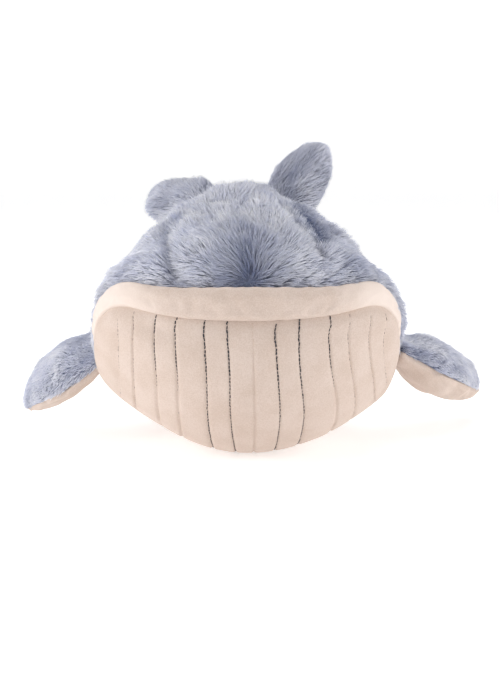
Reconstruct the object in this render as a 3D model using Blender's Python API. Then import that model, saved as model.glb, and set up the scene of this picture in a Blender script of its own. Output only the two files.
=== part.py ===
"""A plush whale: fur and velour covers over stuffing, with a rolled lip, pleats, flippers and a fluked tail.

Metres, +Z up. The nose points to -Y and the tail to +Y. The origin is the middle of the flat
patch of belly that the whale lies on.
"""

import math

import bmesh
import bpy
import numpy as np
from mathutils import Matrix, Vector

# Clearances between pieces that are sewn or pressed together
TOUCH_GAP = 0.0003
SIDE_SEAM_GAP = 0.0008
STUFFING_GAP = 0.0008
BELLY_STUFFING_GAP = 0.0032
LIMB_STUFFING_GAP = 0.0010
SOCKET_GAP = 0.0008
FLAT_DEPTH = 0.0005
CUT_OVERRUN = 0.004

# Cloth, with the pile counted in
FUR_THICKNESS = 0.006
VELOUR_THICKNESS = 0.003
THREAD_RADIUS = 0.0006

# Body, seen from above: a blunt head that tapers to the tail
BODY_HALF_WIDTH = 0.146
WIDEST_Y = -0.040
FRONT_LENGTH = 0.112
TAIL_JOINT_Y = 0.165
TAIL_ROOT_HALF_WIDTH = 0.045
FRONT_BLUNTNESS = 2.4

# Body, seen from the side
MOUTH_HEIGHT = 0.146
HEAD_HEIGHT = 0.237
HEAD_TOP_Y = -0.020
BROW_BLUNTNESS = 1.75
THROAT_LOW_Y = -0.055
BELLY_END_Y = 0.034
THROAT_BLUNTNESS = 2.05
TAIL_JOINT_HEIGHT = 0.133
TAIL_ROOT_HALF_HEIGHT = 0.045
NOSE_OPENING = 0.004

# Body, seen from the front: how much its sides lean in above and below the side seam, 1 being a plain oval
BACK_LEAN = 1.50
BELLY_LEAN = 1.5
TAIL_LEAN = 1.0

# Side seam, which is the mouth line in front
MOUTH_ARCH = 0.005
MOUTH_ARCH_RUN = 0.030
CORNER_DROP = 0.077
CORNER_DROP_START = 0.031
CORNER_DROP_RUN = 0.115
SEAM_RISE_START_Y = 0.020
SEAM_DRAW = 0.009
SEAM_DRAW_HALF_HEIGHT = 0.013
SEAM_DRAW_END_Y = 0.130

# Lip
LIP_HALF_HEIGHT = 0.0145
LIP_SIDE_HALF_HEIGHT = 0.0115
LIP_DEPTH = 0.0125
LIP_SIDE_DEPTH = 0.0050
LIP_END_DEPTH = 0.0040
LIP_END_HALF_HEIGHT = 0.0045
LIP_CLOTH = 0.0022
LIP_SEAT = 0.0008
LIP_END_ANGLE = 84.0
LIP_FULLNESS = 0.85
LIP_HEIGHT_TAPER_SHARE = 0.75
LIP_DEPTH_TAPER_SHARE = 0.85
LIP_CLOSING_SHARE = 0.28

# Pleats of the throat: how far each stitch line lies from the middle seam
PLEAT_SHARES = {1: 0.147, 2: 0.288, 3: 0.459, 4: 0.582, 5: 0.712, 6: 0.805}  # of the half width
PLEAT_DEPTH = 0.0024
PLEAT_END_Y = -0.036
PLEAT_FADE = 0.022
THREAD_BELOW_LIP = 0.003
THREAD_END_Y = -0.050
THREAD_STAND_OFF = 0.0011
THREAD_FLOOR_GAP = 0.0020
CLOSING_STAND_OFF = 0.0014

# Tail
TAIL_HALF_WIDTH = 0.052
TAIL_HALF_HEIGHT = 0.052
TAIL_END_HALF_WIDTH = 0.030
TAIL_END_HALF_HEIGHT = 0.021
TAIL_REACH = 0.128
TAIL_RISE = 0.065
TAIL_ASIDE = 0.003
TAIL_BLUNTNESS = 5.0

# Flippers
FLIPPER_ROOT_START_Y = -0.036
FLIPPER_ROOT_END_Y = 0.038
FLIPPER_ROOT_HALF_CHORD = 0.036
FLIPPER_HALF_CHORD = 0.041
FLIPPER_ROOT_HALF_THICKNESS = 0.0155
FLIPPER_HALF_THICKNESS = 0.0265
FLIPPER_LENGTH = 0.106
FLIPPER_SWEEP = 0.038
LEFT_FLIPPER_DROOP_ANGLE = 32.0
RIGHT_FLIPPER_DROOP_ANGLE = 24.0
LEFT_FLIPPER_TWIST_ANGLE = 32.0
RIGHT_FLIPPER_TWIST_ANGLE = 10.0
FLIPPER_BLUNTNESS = 3.0
FLIPPER_SEAM_GAP = 0.0020

# Flukes
FLUKE_ROOT_SHARE = 0.78
FLUKE_ROOT_HALF_CHORD = 0.031
FLUKE_HALF_CHORD = 0.037
FLUKE_ROOT_HALF_THICKNESS = 0.0085
FLUKE_HALF_THICKNESS = 0.0180
FLUKE_LENGTH = 0.083
FLUKE_SWEEP = 0.016
FLUKE_BLUNTNESS = 3.0
LEFT_FLUKE_SEAT = 0.0010
RIGHT_FLUKE_SEAT = 0.0011
LEFT_FLUKE_RISE_ANGLE = -17.0
RIGHT_FLUKE_RISE_ANGLE = 38.0

# Safety eyes
EYE_Y = -0.022
EYE_ABOVE_SEAM = 0.044
EYE_RADIUS = 0.0060
EYE_DOME = 0.0040
EYE_RIM = 0.0010
EYE_SHANK_RADIUS = 0.0022
WASHER_RADIUS = 0.0080
WASHER_THICKNESS = 0.0014
WASHER_SEAT = 0.0008
SHANK_END = 0.0012
POCKET_CLEARANCE = 0.0010

# Closing seam, sewn by hand after stuffing
CLOSING_START_Y = 0.056
CLOSING_END_Y = 0.112

# Faceting, as counts and shares
SECTION_SHARES = (0.0, 0.04, 0.09, 0.15, 0.23, 0.33, 0.45, 0.58, 0.72, 0.86, 1.0)
STUFFING_TURN_COUNT = 2  # angles of the covers to each angle of the stuffing
STUFFING_STATION_COUNT = 2  # stations of the covers to each station of the stuffing
SIDE_COLUMN_SHARES = (0.36, 0.66, 0.87, 0.97, 0.9995)
THROAT_ROW_SHARES = (0.0, 0.006, 0.022, 0.048, 0.085, 0.13, 0.19, 0.26, 0.34, 0.43, 0.52, 0.61, 0.69, 0.77,
                     0.85, 0.93, 1.0)
SEAM_SAMPLES = 2001
LIP_STATIONS = 27
LIP_TURNS = 8
LIP_BACK_SHARES = (0.5, 0.0, -0.5)
LEAF_COLUMNS = 10
LEAF_ROWS = 8
ROOT_BENDS = (0.0, 32.0, 62.0)
ROUND_SIDES = 16
LEAF_SWEEP_POWER = 1.5
LEAF_SWELL_SHARE = 0.32
TAIL_TAPER_SHARE = 0.80
PLAN_NEAR_SHARE = 0.5
PLAN_FAR_SHARE = 1.02
SEAM_EDGE_SHARE = 0.999
HALVINGS = 40
ROOT_SAMPLES = 33
CLOSING_STATIONS = 9
DOME_STATIONS = 5
WELD_DISTANCE = 1e-6
SLOPE_STEP = 1e-5
SMALL = 1e-9

NOSE_Y = WIDEST_Y - FRONT_LENGTH


def clear_scene():
    """Empty the scene of whatever the file opened with."""
    for existing in list(bpy.data.objects):
        bpy.data.objects.remove(existing, do_unlink=True)


def material(name, colour, roughness, metallic=0.0):
    """A Principled material of one colour."""
    made = bpy.data.materials.new(name)
    made.use_nodes = True
    shader = made.node_tree.nodes["Principled BSDF"]
    shader.inputs["Base Color"].default_value = (*colour, 1.0)
    shader.inputs["Roughness"].default_value = roughness
    shader.inputs["Metallic"].default_value = metallic
    return made


def settle(share):
    """Ease from 0 to 1 with flat ends."""
    held = np.clip(share, 0.0, 1.0)
    return held * held * (3.0 - 2.0 * held)


def blend(start, end, share):
    """Go from start to end by a share."""
    return start + (end - start) * share


def quarter(share, power):
    """A quarter of a superellipse: rises steeply from 0 and levels off at 1."""
    left = 1.0 - np.clip(share, 0.0, 1.0)
    return (1.0 - left**power) ** (1.0 / power)


def add_mesh(name, vertices, faces, finish):
    """Make an object from vertices and triangles, welded and with its faces turned outwards."""
    mesh = bpy.data.meshes.new(name)
    mesh.from_pydata([tuple(vertex) for vertex in vertices], [], [tuple(face) for face in faces])
    work = bmesh.new()
    work.from_mesh(mesh)
    bmesh.ops.remove_doubles(work, verts=work.verts, dist=WELD_DISTANCE)
    bmesh.ops.dissolve_degenerate(work, edges=work.edges, dist=WELD_DISTANCE)
    bmesh.ops.triangulate(work, faces=work.faces)
    bmesh.ops.recalc_face_normals(work, faces=work.faces)
    work.to_mesh(mesh)
    work.free()
    mesh.shade_smooth()
    mesh.materials.append(finish)
    thing = bpy.data.objects.new(name, mesh)
    bpy.context.scene.collection.objects.link(thing)
    return thing


def sheet_faces(rows, columns, first=0, closed=False):
    """Triangles over a grid of vertices, which may close round on itself along the columns."""
    across = np.arange(columns if closed else columns - 1)
    down = np.arange(rows - 1)[:, None]
    following = (across + 1) % columns
    near = first + down * columns
    far = near + columns
    low = np.stack([near + across, near + following, far + following], -1).reshape(-1, 3)
    high = np.stack([near + across, far + following, far + across], -1).reshape(-1, 3)
    return np.concatenate([low, high])


def slab(name, outer, inner, finish):
    """A cloth piece between two matching grids of points, closed along its edges."""
    rows, columns = outer.shape[:2]
    count = rows * columns
    index = np.arange(count).reshape(rows, columns)
    edge = np.concatenate([index[0, :-1], index[:-1, -1], index[-1, :0:-1], index[:0:-1, 0]])
    after = np.roll(edge, -1)
    rim_low = np.stack([edge, edge + count, after + count], -1)
    rim_high = np.stack([edge, after + count, after], -1)
    skin = sheet_faces(rows, columns)
    lining = sheet_faces(rows, columns, count)[:, ::-1]
    faces = np.concatenate([skin, lining, rim_low, rim_high])
    vertices = np.concatenate([outer.reshape(-1, 3), inner.reshape(-1, 3)])
    return add_mesh(name, vertices, faces, finish)


def filled(name, rings, finish):
    """A solid through closed rings of points, with each end closed to its middle."""
    rows, columns = rings.shape[:2]
    count = rows * columns
    around = np.arange(columns)
    after = (around + 1) % columns
    last = count - columns
    front = np.stack([np.full(columns, count), after, around], -1)
    back = np.stack([np.full(columns, count + 1), last + around, last + after], -1)
    faces = np.concatenate([sheet_faces(rows, columns, closed=True), front, back])
    middles = np.stack([rings[0].mean(axis=0), rings[-1].mean(axis=0)])
    return add_mesh(name, np.concatenate([rings.reshape(-1, 3), middles]), faces, finish)


def thread(name, path, out, finish):
    """A thread of square section along a path; out gives the way off the cloth at each point."""
    ahead = np.gradient(path, axis=0)
    ahead /= np.linalg.norm(ahead, axis=1, keepdims=True)
    aside = np.cross(ahead, out)
    aside /= np.linalg.norm(aside, axis=1, keepdims=True)
    proud = np.cross(aside, ahead)
    corners = [aside, proud, -aside, -proud]
    rings = np.stack([path + THREAD_RADIUS * corner for corner in corners], axis=1)
    return filled(name, rings, finish)


def mirrored(points):
    """The same points on the other side of the whale."""
    return points * np.array([-1.0, 1.0, 1.0])


class BodyForm:
    """The body as a family of upright sections, drawn in all round by an inset."""

    def __init__(self, inset=0.0):
        self.inset = inset
        self.nose_y = NOSE_Y + inset
        self.front_length = FRONT_LENGTH - inset

    def half_width(self, y):
        """Half the body's width at y, where the side seam runs."""
        ahead = np.clip((WIDEST_Y - y) / self.front_length, 0.0, 1.0)
        front = (BODY_HALF_WIDTH - self.inset) * (1.0 - ahead**FRONT_BLUNTNESS) ** (1.0 / FRONT_BLUNTNESS)
        behind = settle((y - WIDEST_Y) / (TAIL_JOINT_Y - WIDEST_Y))
        rear = blend(BODY_HALF_WIDTH, TAIL_ROOT_HALF_WIDTH, behind) - self.inset
        return np.where(y < WIDEST_Y, front, rear)

    def top(self, y):
        """Height of the back at y."""
        climb = quarter((y - self.nose_y) / (HEAD_TOP_Y - self.nose_y), BROW_BLUNTNESS)
        fall = settle((y - HEAD_TOP_Y) / (TAIL_JOINT_Y - HEAD_TOP_Y))
        crown = blend(HEAD_HEIGHT, TAIL_JOINT_HEIGHT + TAIL_ROOT_HALF_HEIGHT, fall) - self.inset
        return blend(seam_height(y), crown, climb)

    def bottom(self, y):
        """Height of the throat and belly at y, before the flat is cut."""
        dip = quarter((y - self.nose_y) / (THROAT_LOW_Y - self.nose_y), THROAT_BLUNTNESS)
        lift = settle((y - BELLY_END_Y) / (TAIL_JOINT_Y - BELLY_END_Y))
        keel = blend(-FLAT_DEPTH, TAIL_JOINT_HEIGHT - TAIL_ROOT_HALF_HEIGHT, lift) + self.inset
        return blend(seam_height(y), keel, dip)

    def back_lean(self, y):
        """Lean of the section above the seam."""
        return blend(BACK_LEAN, TAIL_LEAN, settle((y - HEAD_TOP_Y) / (TAIL_JOINT_Y - HEAD_TOP_Y)))

    def belly_lean(self, y):
        """Lean of the section below the seam."""
        return blend(BELLY_LEAN, TAIL_LEAN, settle((y - BELLY_END_Y) / (TAIL_JOINT_Y - BELLY_END_Y)))

    def back_point(self, y, turn):
        """A point above the seam at an angle that grows from 0 at the seam to a right angle at the back."""
        x = self.half_width(y) * np.cos(turn).clip(0.0)
        z = seam_height(y) + (self.top(y) - seam_height(y)) * np.sin(turn).clip(0.0) ** self.back_lean(y)
        return draw_in(np.stack(np.broadcast_arrays(x, y, z), -1))

    def belly_point(self, y, turn):
        """A point below the seam at an angle that grows from 0 at the seam to a right angle at the keel."""
        x = self.half_width(y) * np.cos(turn).clip(0.0)
        z = seam_height(y) - (seam_height(y) - self.bottom(y)) * np.sin(turn).clip(0.0) ** self.belly_lean(y)
        return draw_in(np.stack(np.broadcast_arrays(x, y, z), -1))

    def throat_point(self, x, y):
        """The point below the seam straight under (x, y)."""
        across = np.clip(np.abs(x) / np.maximum(self.half_width(y), SMALL), 0.0, 1.0)
        fall = np.sqrt(1.0 - across**2) ** self.belly_lean(y)
        z = seam_height(y) - (seam_height(y) - self.bottom(y)) * fall
        return draw_in(np.stack(np.broadcast_arrays(x, y, z), -1))

    def level(self, x, y, z):
        """Below 0 inside the body, 0 on its surface and above 0 outside."""
        upper = z > seam_height(y)
        lean = np.where(upper, self.back_lean(y), self.belly_lean(y))
        reach = np.where(upper, self.top(y), self.bottom(y)) - seam_height(y)
        across = np.abs(x) / np.maximum(self.half_width(y), SMALL)
        along = (z - seam_height(y)) / np.where(np.abs(reach) < SMALL, SMALL, reach)
        return across**2 + np.clip(along, 0.0, None) ** (2.0 / lean) - 1.0


def seam_height(y):
    """Height of the side seam at y; in front of the mouth corners it is the mouth line."""
    arch = MOUTH_ARCH * settle((y - NOSE_Y) / MOUTH_ARCH_RUN)
    drop = CORNER_DROP * settle((y - NOSE_Y - CORNER_DROP_START) / CORNER_DROP_RUN)
    low = MOUTH_HEIGHT + MOUTH_ARCH - CORNER_DROP
    rise = (TAIL_JOINT_HEIGHT - low) * settle((y - SEAM_RISE_START_Y) / (TAIL_JOINT_Y - SEAM_RISE_START_Y))
    return MOUTH_HEIGHT + arch - drop + rise


def plan_shares(angle):
    """Shares of the half width and of the front length at a plan angle from the nose."""
    across, ahead = np.abs(np.sin(angle)), np.cos(angle).clip(0.0)
    size = (across**FRONT_BLUNTNESS + ahead**FRONT_BLUNTNESS) ** (1.0 / FRONT_BLUNTNESS)
    return across / size, ahead / size


def plan_angle(x, y):
    """Plan angle from the nose, seen from the widest section, of a point of the front."""
    return np.arctan2(np.abs(x) / BODY_HALF_WIDTH, np.maximum(WIDEST_Y - y, 0.0) / FRONT_LENGTH)


def plan_outward(angle):
    """Level way out of the body at a plan angle on its right side."""
    across, ahead = plan_shares(angle)
    way = np.stack([across ** (FRONT_BLUNTNESS - 1.0) / BODY_HALF_WIDTH,
                    -(ahead ** (FRONT_BLUNTNESS - 1.0)) / FRONT_LENGTH, np.zeros_like(across)], -1)
    return way / np.linalg.norm(way, axis=-1, keepdims=True)


def draw_in(points):
    """Pull the cloth in along the side seam, where it is sewn."""
    x, y, z = points[..., 0], points[..., 1], points[..., 2]
    angle = plan_angle(x, y)
    path_y = np.where(y < WIDEST_Y, WIDEST_Y - FRONT_LENGTH * plan_shares(angle)[1], y)
    above = (z - seam_height(path_y)) / SEAM_DRAW_HALF_HEIGHT
    fade = 1.0 - settle((y - SEAM_RISE_START_Y) / (SEAM_DRAW_END_Y - SEAM_RISE_START_Y))
    side = np.stack([np.where(x < 0.0, -1.0, 1.0), np.ones_like(x), np.ones_like(x)], -1)
    pull = SEAM_DRAW * fade * np.exp(-above * above)
    return points - plan_outward(angle) * side * pull[..., None]


def surface_way(form, point):
    """Way out of the body at a point of its surface, from the slope of the form's level."""
    x, y, z = point
    slope = []
    for step in np.eye(3) * SLOPE_STEP:
        ahead = form.level(x + step[0], y + step[1], z + step[2])
        behind = form.level(x - step[0], y - step[1], z - step[2])
        slope.append(float(ahead - behind))
    return Vector(slope).normalized()


def socket_y(x, z):
    """The surface that the body's rear end keeps, clear of the tail's round root."""
    across = np.clip(np.abs(x) / (TAIL_HALF_WIDTH + SOCKET_GAP), 0.0, 1.0)
    radius = (TAIL_HALF_HEIGHT + SOCKET_GAP) * np.sqrt(1.0 - across**2)
    off = np.minimum(np.abs(z - TAIL_JOINT_HEIGHT), radius)
    return TAIL_JOINT_Y - np.sqrt(radius**2 - off**2)


def socket_end(point_at, shape):
    """For each column, the y where a rearward line of points meets the tail's socket."""
    near = np.full(shape, BELLY_END_Y)
    far = np.full(shape, TAIL_JOINT_Y)
    for _ in range(HALVINGS):
        middle = (near + far) / 2.0
        points = point_at(middle)
        inside = points[..., 1] < socket_y(points[..., 0], points[..., 2])
        near = np.where(inside, middle, near)
        far = np.where(inside, far, middle)
    return near


def socket_corner():
    """How far from the middle the side seam meets the tail's socket."""
    form = BodyForm()
    seam = np.zeros(1)
    end = socket_end(lambda y: form.back_point(y, seam), seam.shape)
    return float(form.half_width(end)[0])


def throat_columns():
    """Where the throat's rows of stitches and the crowns between them lie, as distances from the middle."""
    stitched = [0.0] + [share * BODY_HALF_WIDTH for _, share in sorted(PLEAT_SHARES.items())]
    crowns = [(near + far) / 2.0 for near, far in zip(stitched, stitched[1:])]
    beside = [blend(stitched[-1], BODY_HALF_WIDTH, share) for share in SIDE_COLUMN_SHARES]
    right = sorted(stitched[1:] + crowns + [socket_corner()]) + beside
    return np.array([-x for x in reversed(right)] + [0.0] + right), np.array(stitched)


def front_y(form, distance):
    """Where the side seam's front part is this far from the middle, measured on the outer form."""
    share = np.maximum(np.abs(distance), NOSE_OPENING) / BODY_HALF_WIDTH
    return WIDEST_Y - form.front_length * (1.0 - share**FRONT_BLUNTNESS) ** (1.0 / FRONT_BLUNTNESS)


def rear_y(form, distance):
    """Where the side seam's rear part is this far from the middle, measured on the outer form."""
    ys = np.linspace(WIDEST_Y, TAIL_JOINT_Y, SEAM_SAMPLES)
    share = np.abs(distance) / BODY_HALF_WIDTH
    return np.interp(-share * (BODY_HALF_WIDTH - form.inset), -form.half_width(ys), ys)


def seam_stations(form):
    """The stations of the side seam, where the throat's columns start in front and end behind."""
    columns = throat_columns()[0]
    right = columns[columns >= 0.0]
    closing = right[right > socket_corner() + SMALL]
    return np.concatenate([front_y(form, right), rear_y(form, closing)[::-1]])


def section_turns():
    """Angles up a section from the side seam, closer together at the seam."""
    return math.pi / 2.0 * np.array(SECTION_SHARES)


def back_grid(inset, lift, aside):
    """Right half of the back: rows go from nose to tail, columns from the seam up to the middle."""
    form = BodyForm(inset)
    turns = section_turns()
    stations = seam_stations(form)
    rows = np.broadcast_to(stations[:, None], (len(stations), len(turns)))
    ends = socket_end(lambda y: form.back_point(y, turns), turns.shape)
    ys = np.concatenate([rows, ends[None, :]])
    grid = form.back_point(ys, np.broadcast_to(turns, ys.shape))
    grid[..., 2] += lift * np.cos(turns)
    grid[..., 0] = np.maximum(grid[..., 0], 0.0) + aside * np.sin(turns)
    return grid


def throat_grid(inset, drop, pleated):
    """The throat and belly: columns go across, rows run from the lip under the belly to the tail."""
    form = BodyForm(inset)
    columns, stitched = throat_columns()
    xs = columns * (BODY_HALF_WIDTH - inset) / BODY_HALF_WIDTH
    start = front_y(form, columns)
    ends = socket_end(lambda y: form.throat_point(xs, y), xs.shape)
    ends = np.where(np.abs(columns) > socket_corner() - SMALL, rear_y(form, columns), ends)
    rows = np.array(THROAT_ROW_SHARES)
    y_grid = start + (ends - start) * rows[:, None]
    grid = form.throat_point(np.broadcast_to(xs, y_grid.shape), y_grid)
    grid[..., 2] -= drop
    if pleated:
        near = np.min(np.abs(np.abs(columns)[:, None] - stitched), axis=1) < SMALL
        depth = PLEAT_DEPTH * near * (1.0 - settle((y_grid - PLEAT_END_Y + PLEAT_FADE) / PLEAT_FADE))
        grid -= depth[..., None] * throat_ways(form, xs, y_grid)
        grid[..., 2] = np.maximum(grid[..., 2], 0.0)
    return grid


def throat_ways(form, xs, y_grid):
    """Way out of the throat at each point of its grid, from the slope of the form's level."""
    x = np.broadcast_to(xs, y_grid.shape)
    inner_x = np.sign(x) * np.minimum(np.abs(x), form.half_width(y_grid) * SEAM_EDGE_SHARE)
    points = form.throat_point(inner_x, y_grid)
    z = np.minimum(points[..., 2], seam_height(y_grid) - SLOPE_STEP)
    slope_x = form.level(inner_x + SLOPE_STEP, y_grid, z) - form.level(inner_x - SLOPE_STEP, y_grid, z)
    slope_y = form.level(inner_x, y_grid + SLOPE_STEP, z) - form.level(inner_x, y_grid - SLOPE_STEP, z)
    slope_z = form.level(inner_x, y_grid, z + SLOPE_STEP) - form.level(inner_x, y_grid, z - SLOPE_STEP)
    way = np.stack([slope_x, slope_y, slope_z], -1)
    return way / np.maximum(np.linalg.norm(way, axis=-1, keepdims=True), SMALL)


def make_body_covers(fur, velour):
    """The two fur halves of the back and the velour throat, which meet at the side seam."""
    half_gap = TOUCH_GAP / 2.0
    half_seam = SIDE_SEAM_GAP / 2.0
    outer = back_grid(0.0, half_seam, half_gap)
    inner = back_grid(FUR_THICKNESS, half_seam, half_gap)
    right = slab("back_cover_right", outer, inner, fur)
    left = slab("back_cover_left", mirrored(outer), mirrored(inner), fur)
    throat_outer = throat_grid(0.0, half_seam, True)
    throat_inner = throat_grid(VELOUR_THICKNESS + PLEAT_DEPTH, half_seam, False)
    slab("throat_cover", throat_outer, throat_inner, velour)
    return left, right, throat_outer


def make_body_stuffing(filling):
    """The filling of the body, one firm mass inside the three covers."""
    upper = BodyForm(FUR_THICKNESS + STUFFING_GAP)
    lower = BodyForm(VELOUR_THICKNESS + PLEAT_DEPTH + BELLY_STUFFING_GAP)
    stop = TAIL_JOINT_Y - TAIL_HALF_HEIGHT - SOCKET_GAP - STUFFING_GAP
    stations = seam_stations(upper)[::STUFFING_STATION_COUNT]
    ys = np.concatenate([stations[stations < stop - STUFFING_GAP], [stop]])[:, None]
    turns = section_turns()[::STUFFING_TURN_COUNT]
    above = upper.back_point(ys, turns[None, :])
    below = lower.belly_point(ys, turns[None, ::-1])
    width = upper.half_width(ys) / np.maximum(lower.half_width(ys), SMALL)
    below[..., 0] *= np.minimum(width, 1.0)
    right_side = np.concatenate([below[:, 1:], above[:, 1:]], axis=1)
    left_side = mirrored(right_side)[:, -2::-1]
    bottom = below[:, :1]
    rings = np.concatenate([bottom, right_side, left_side], axis=1)
    return filled("body_stuffing", rings, filling)


def make_pleat_threads(throat_outer, dark, pale):
    """Twelve dark rows of stitches along the pleats and a pale one along the middle."""
    columns, _ = throat_columns()
    form = BodyForm()
    for side, sign in (("left", -1.0), ("right", 1.0)):
        for number, share in PLEAT_SHARES.items():
            column = int(np.argmin(np.abs(columns - sign * share * BODY_HALF_WIDTH)))
            make_throat_thread(f"pleat_thread_{side}_{number}", throat_outer, column, form, dark)
    middle = int(np.argmin(np.abs(columns)))
    make_throat_thread("throat_seam_thread", throat_outer, middle, form, pale)


def make_throat_thread(name, throat_outer, column, form, finish):
    """One thread that lies in the valley of a pleat, from under the lip to the belly."""
    line = throat_outer[:, column]
    xs = throat_columns()[0]
    ways = throat_ways(form, xs, throat_outer[..., 1])[:, column]
    path = line + ways * THREAD_STAND_OFF
    start = front_y(form, xs[column])
    lip_half_height, _ = lip_sizes(plan_angle(xs[column], start))
    highest = seam_height(start) - lip_half_height - THREAD_BELOW_LIP
    first = int(np.argmax(path[:, 2] < highest))
    share = (path[first - 1, 2] - highest) / (path[first - 1, 2] - path[first, 2])
    path = np.concatenate([[blend(path[first - 1], path[first], share)], path[first:]])
    ways = ways[first - 1:]
    kept = (path[:, 1] < THREAD_END_Y) & (path[:, 2] > THREAD_FLOOR_GAP)
    return thread(name, path[kept], ways[kept], finish)


def level_point(form, angle, z):
    """The body's surface at a plan angle and a height, found by halving between inside and outside."""
    across, ahead = plan_shares(angle)
    near = np.full_like(z, PLAN_NEAR_SHARE)
    far = np.full_like(z, PLAN_FAR_SHARE)
    for _ in range(HALVINGS):
        middle = (near + far) / 2.0
        x = middle * BODY_HALF_WIDTH * across
        y = WIDEST_Y - middle * FRONT_LENGTH * ahead
        inside = form.level(x, y, z) < 0.0
        near = np.where(inside, middle, near)
        far = np.where(inside, far, middle)
    points = np.stack([near * BODY_HALF_WIDTH * across, WIDEST_Y - near * FRONT_LENGTH * ahead, z], -1)
    return draw_in(points)


def lip_sizes(angle):
    """Half height and depth of the lip at a plan angle: full in front, slim at the mouth corners."""
    end = math.radians(LIP_END_ANGLE)
    share = np.abs(angle) / end
    half_height = blend(LIP_HALF_HEIGHT, LIP_SIDE_HALF_HEIGHT, settle(share / LIP_HEIGHT_TAPER_SHARE))
    ending = np.clip((share - 1.0 + LIP_CLOSING_SHARE) / LIP_CLOSING_SHARE, 0.0, 1.0)
    closing = np.sqrt(1.0 - ending**2)
    half_height = blend(LIP_END_HALF_HEIGHT, half_height, closing)
    full_depth = blend(LIP_DEPTH, LIP_SIDE_DEPTH, settle(share / LIP_DEPTH_TAPER_SHARE))
    depth = blend(LIP_END_DEPTH, full_depth, closing)
    return half_height, depth


def lip_grid(inset, turns, seat, full):
    """The lip's round front, or its back along the body, as rows along the mouth from below to above."""
    end = math.radians(LIP_END_ANGLE)
    angles = np.linspace(-end, end, LIP_STATIONS)[:, None]
    half_height, depth = lip_sizes(angles)
    path_y = WIDEST_Y - FRONT_LENGTH * plan_shares(angles)[1]
    rise = (half_height - inset) * np.sin(turns)
    z = seam_height(path_y) + rise
    wide = np.broadcast_to(np.abs(angles), z.shape)
    points = level_point(BodyForm(), wide, z)
    out = seat + full * (depth - inset) * np.cos(turns).clip(0.0) ** LIP_FULLNESS
    points = points + plan_outward(wide) * out[..., None]
    points[..., 0] *= np.where(angles < 0.0, -1.0, 1.0)
    return points


def make_lip(velour, filling):
    """The rolled lip: a strip of velour round its own filling, open towards the seam it is sewn to."""
    turns = np.linspace(-math.pi / 2.0, math.pi / 2.0, LIP_TURNS)[None, :]
    outer = lip_grid(0.0, turns, LIP_SEAT, True)
    slab("lip_cover", outer, lip_grid(LIP_CLOTH, turns, LIP_SEAT, True), velour)
    inset = LIP_CLOTH + 2.0 * TOUCH_GAP
    seat = LIP_SEAT + TOUCH_GAP
    face = lip_grid(inset, turns, seat, True)
    behind = lip_grid(inset, np.arcsin(LIP_BACK_SHARES)[None, :], seat, False)
    filled("lip_stuffing", np.concatenate([face, behind], axis=1)[1:-1], filling)


class LeafForm:
    """A flipper or fluke about its root: chord along x, span along y and thickness along z."""

    def __init__(self, root_chord, chord, root_thickness, thickness, length, sweep, bluntness, twist_angle):
        self.root_chord = root_chord
        self.chord = chord
        self.root_thickness = root_thickness
        self.thickness = thickness
        self.length = length
        self.sweep = sweep
        self.bluntness = bluntness
        self.twist = math.radians(twist_angle)

    def half(self, edge_inset, thickness_inset, side):
        """Upper (side 1) or under (side -1) half: rows from the root to the tip, columns along the chord."""
        turns = np.linspace(0.0, math.pi, LEAF_COLUMNS)[None, :]
        bends = np.radians(ROOT_BENDS)[:, None]
        root_chord = self.root_chord - edge_inset
        root_thickness = self.root_thickness - thickness_inset
        radius = root_thickness * np.sin(turns)
        depth = (self.root_thickness - edge_inset) * np.sin(turns)
        root = np.stack(np.broadcast_arrays(root_chord * np.cos(turns), -depth * np.cos(bends),
                                            side * radius * np.sin(bends)), -1)
        along = np.sin(np.linspace(0.0, math.pi / 2.0, LEAF_ROWS))[:, None]
        closing = np.sqrt(np.clip(1.0 - along**self.bluntness, 0.0, 1.0))
        swell = settle(along / LEAF_SWELL_SHARE)
        chord = (blend(self.root_chord, self.chord, swell) - edge_inset) * closing
        thickness = (blend(self.root_thickness, self.thickness, swell) - thickness_inset) * closing
        turned = self.twist * swell
        flat = chord * np.cos(turns)
        raised = side * thickness * np.sin(turns)
        x = self.sweep * along**LEAF_SWEEP_POWER + flat * np.cos(turned) - raised * np.sin(turned)
        y = (self.length - edge_inset) * along
        z = flat * np.sin(turned) + raised * np.cos(turned)
        span = np.stack(np.broadcast_arrays(x, y, z), -1)
        return np.concatenate([root, span])


def place(points, frame):
    """Carry points from a leaf's own axes into the whale."""
    matrix = np.array(frame)
    return points @ matrix[:3, :3].T + matrix[:3, 3]


def make_leaf(name, form, frame, finishes):
    """A limb of two covers round its filling: fur above, velour below."""
    fur, velour, filling = finishes
    half_gap = TOUCH_GAP / 2.0
    for part, side, cloth, finish in (("top_cover", 1.0, FUR_THICKNESS, fur),
                                      ("under_cover", -1.0, VELOUR_THICKNESS, velour)):
        outer = form.half(0.0, 0.0, side) + np.array([0.0, 0.0, side * half_gap])
        inner = form.half(cloth, cloth, side) + np.array([0.0, 0.0, side * half_gap])
        slab(f"{name}_{part}", place(outer, frame), place(inner, frame), finish)
    edge = FUR_THICKNESS + LIMB_STUFFING_GAP
    upper = form.half(edge, edge, 1.0)
    under = form.half(edge, VELOUR_THICKNESS + LIMB_STUFFING_GAP, -1.0)
    rows, columns = upper.shape[:2]
    count = rows * columns
    faces = np.concatenate([sheet_faces(rows, columns), sheet_faces(rows, columns, count)[:, ::-1]])
    corners = np.concatenate([upper.reshape(-1, 3), under.reshape(-1, 3)])
    add_mesh(f"{name}_stuffing", place(corners, frame), faces, filling)


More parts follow.
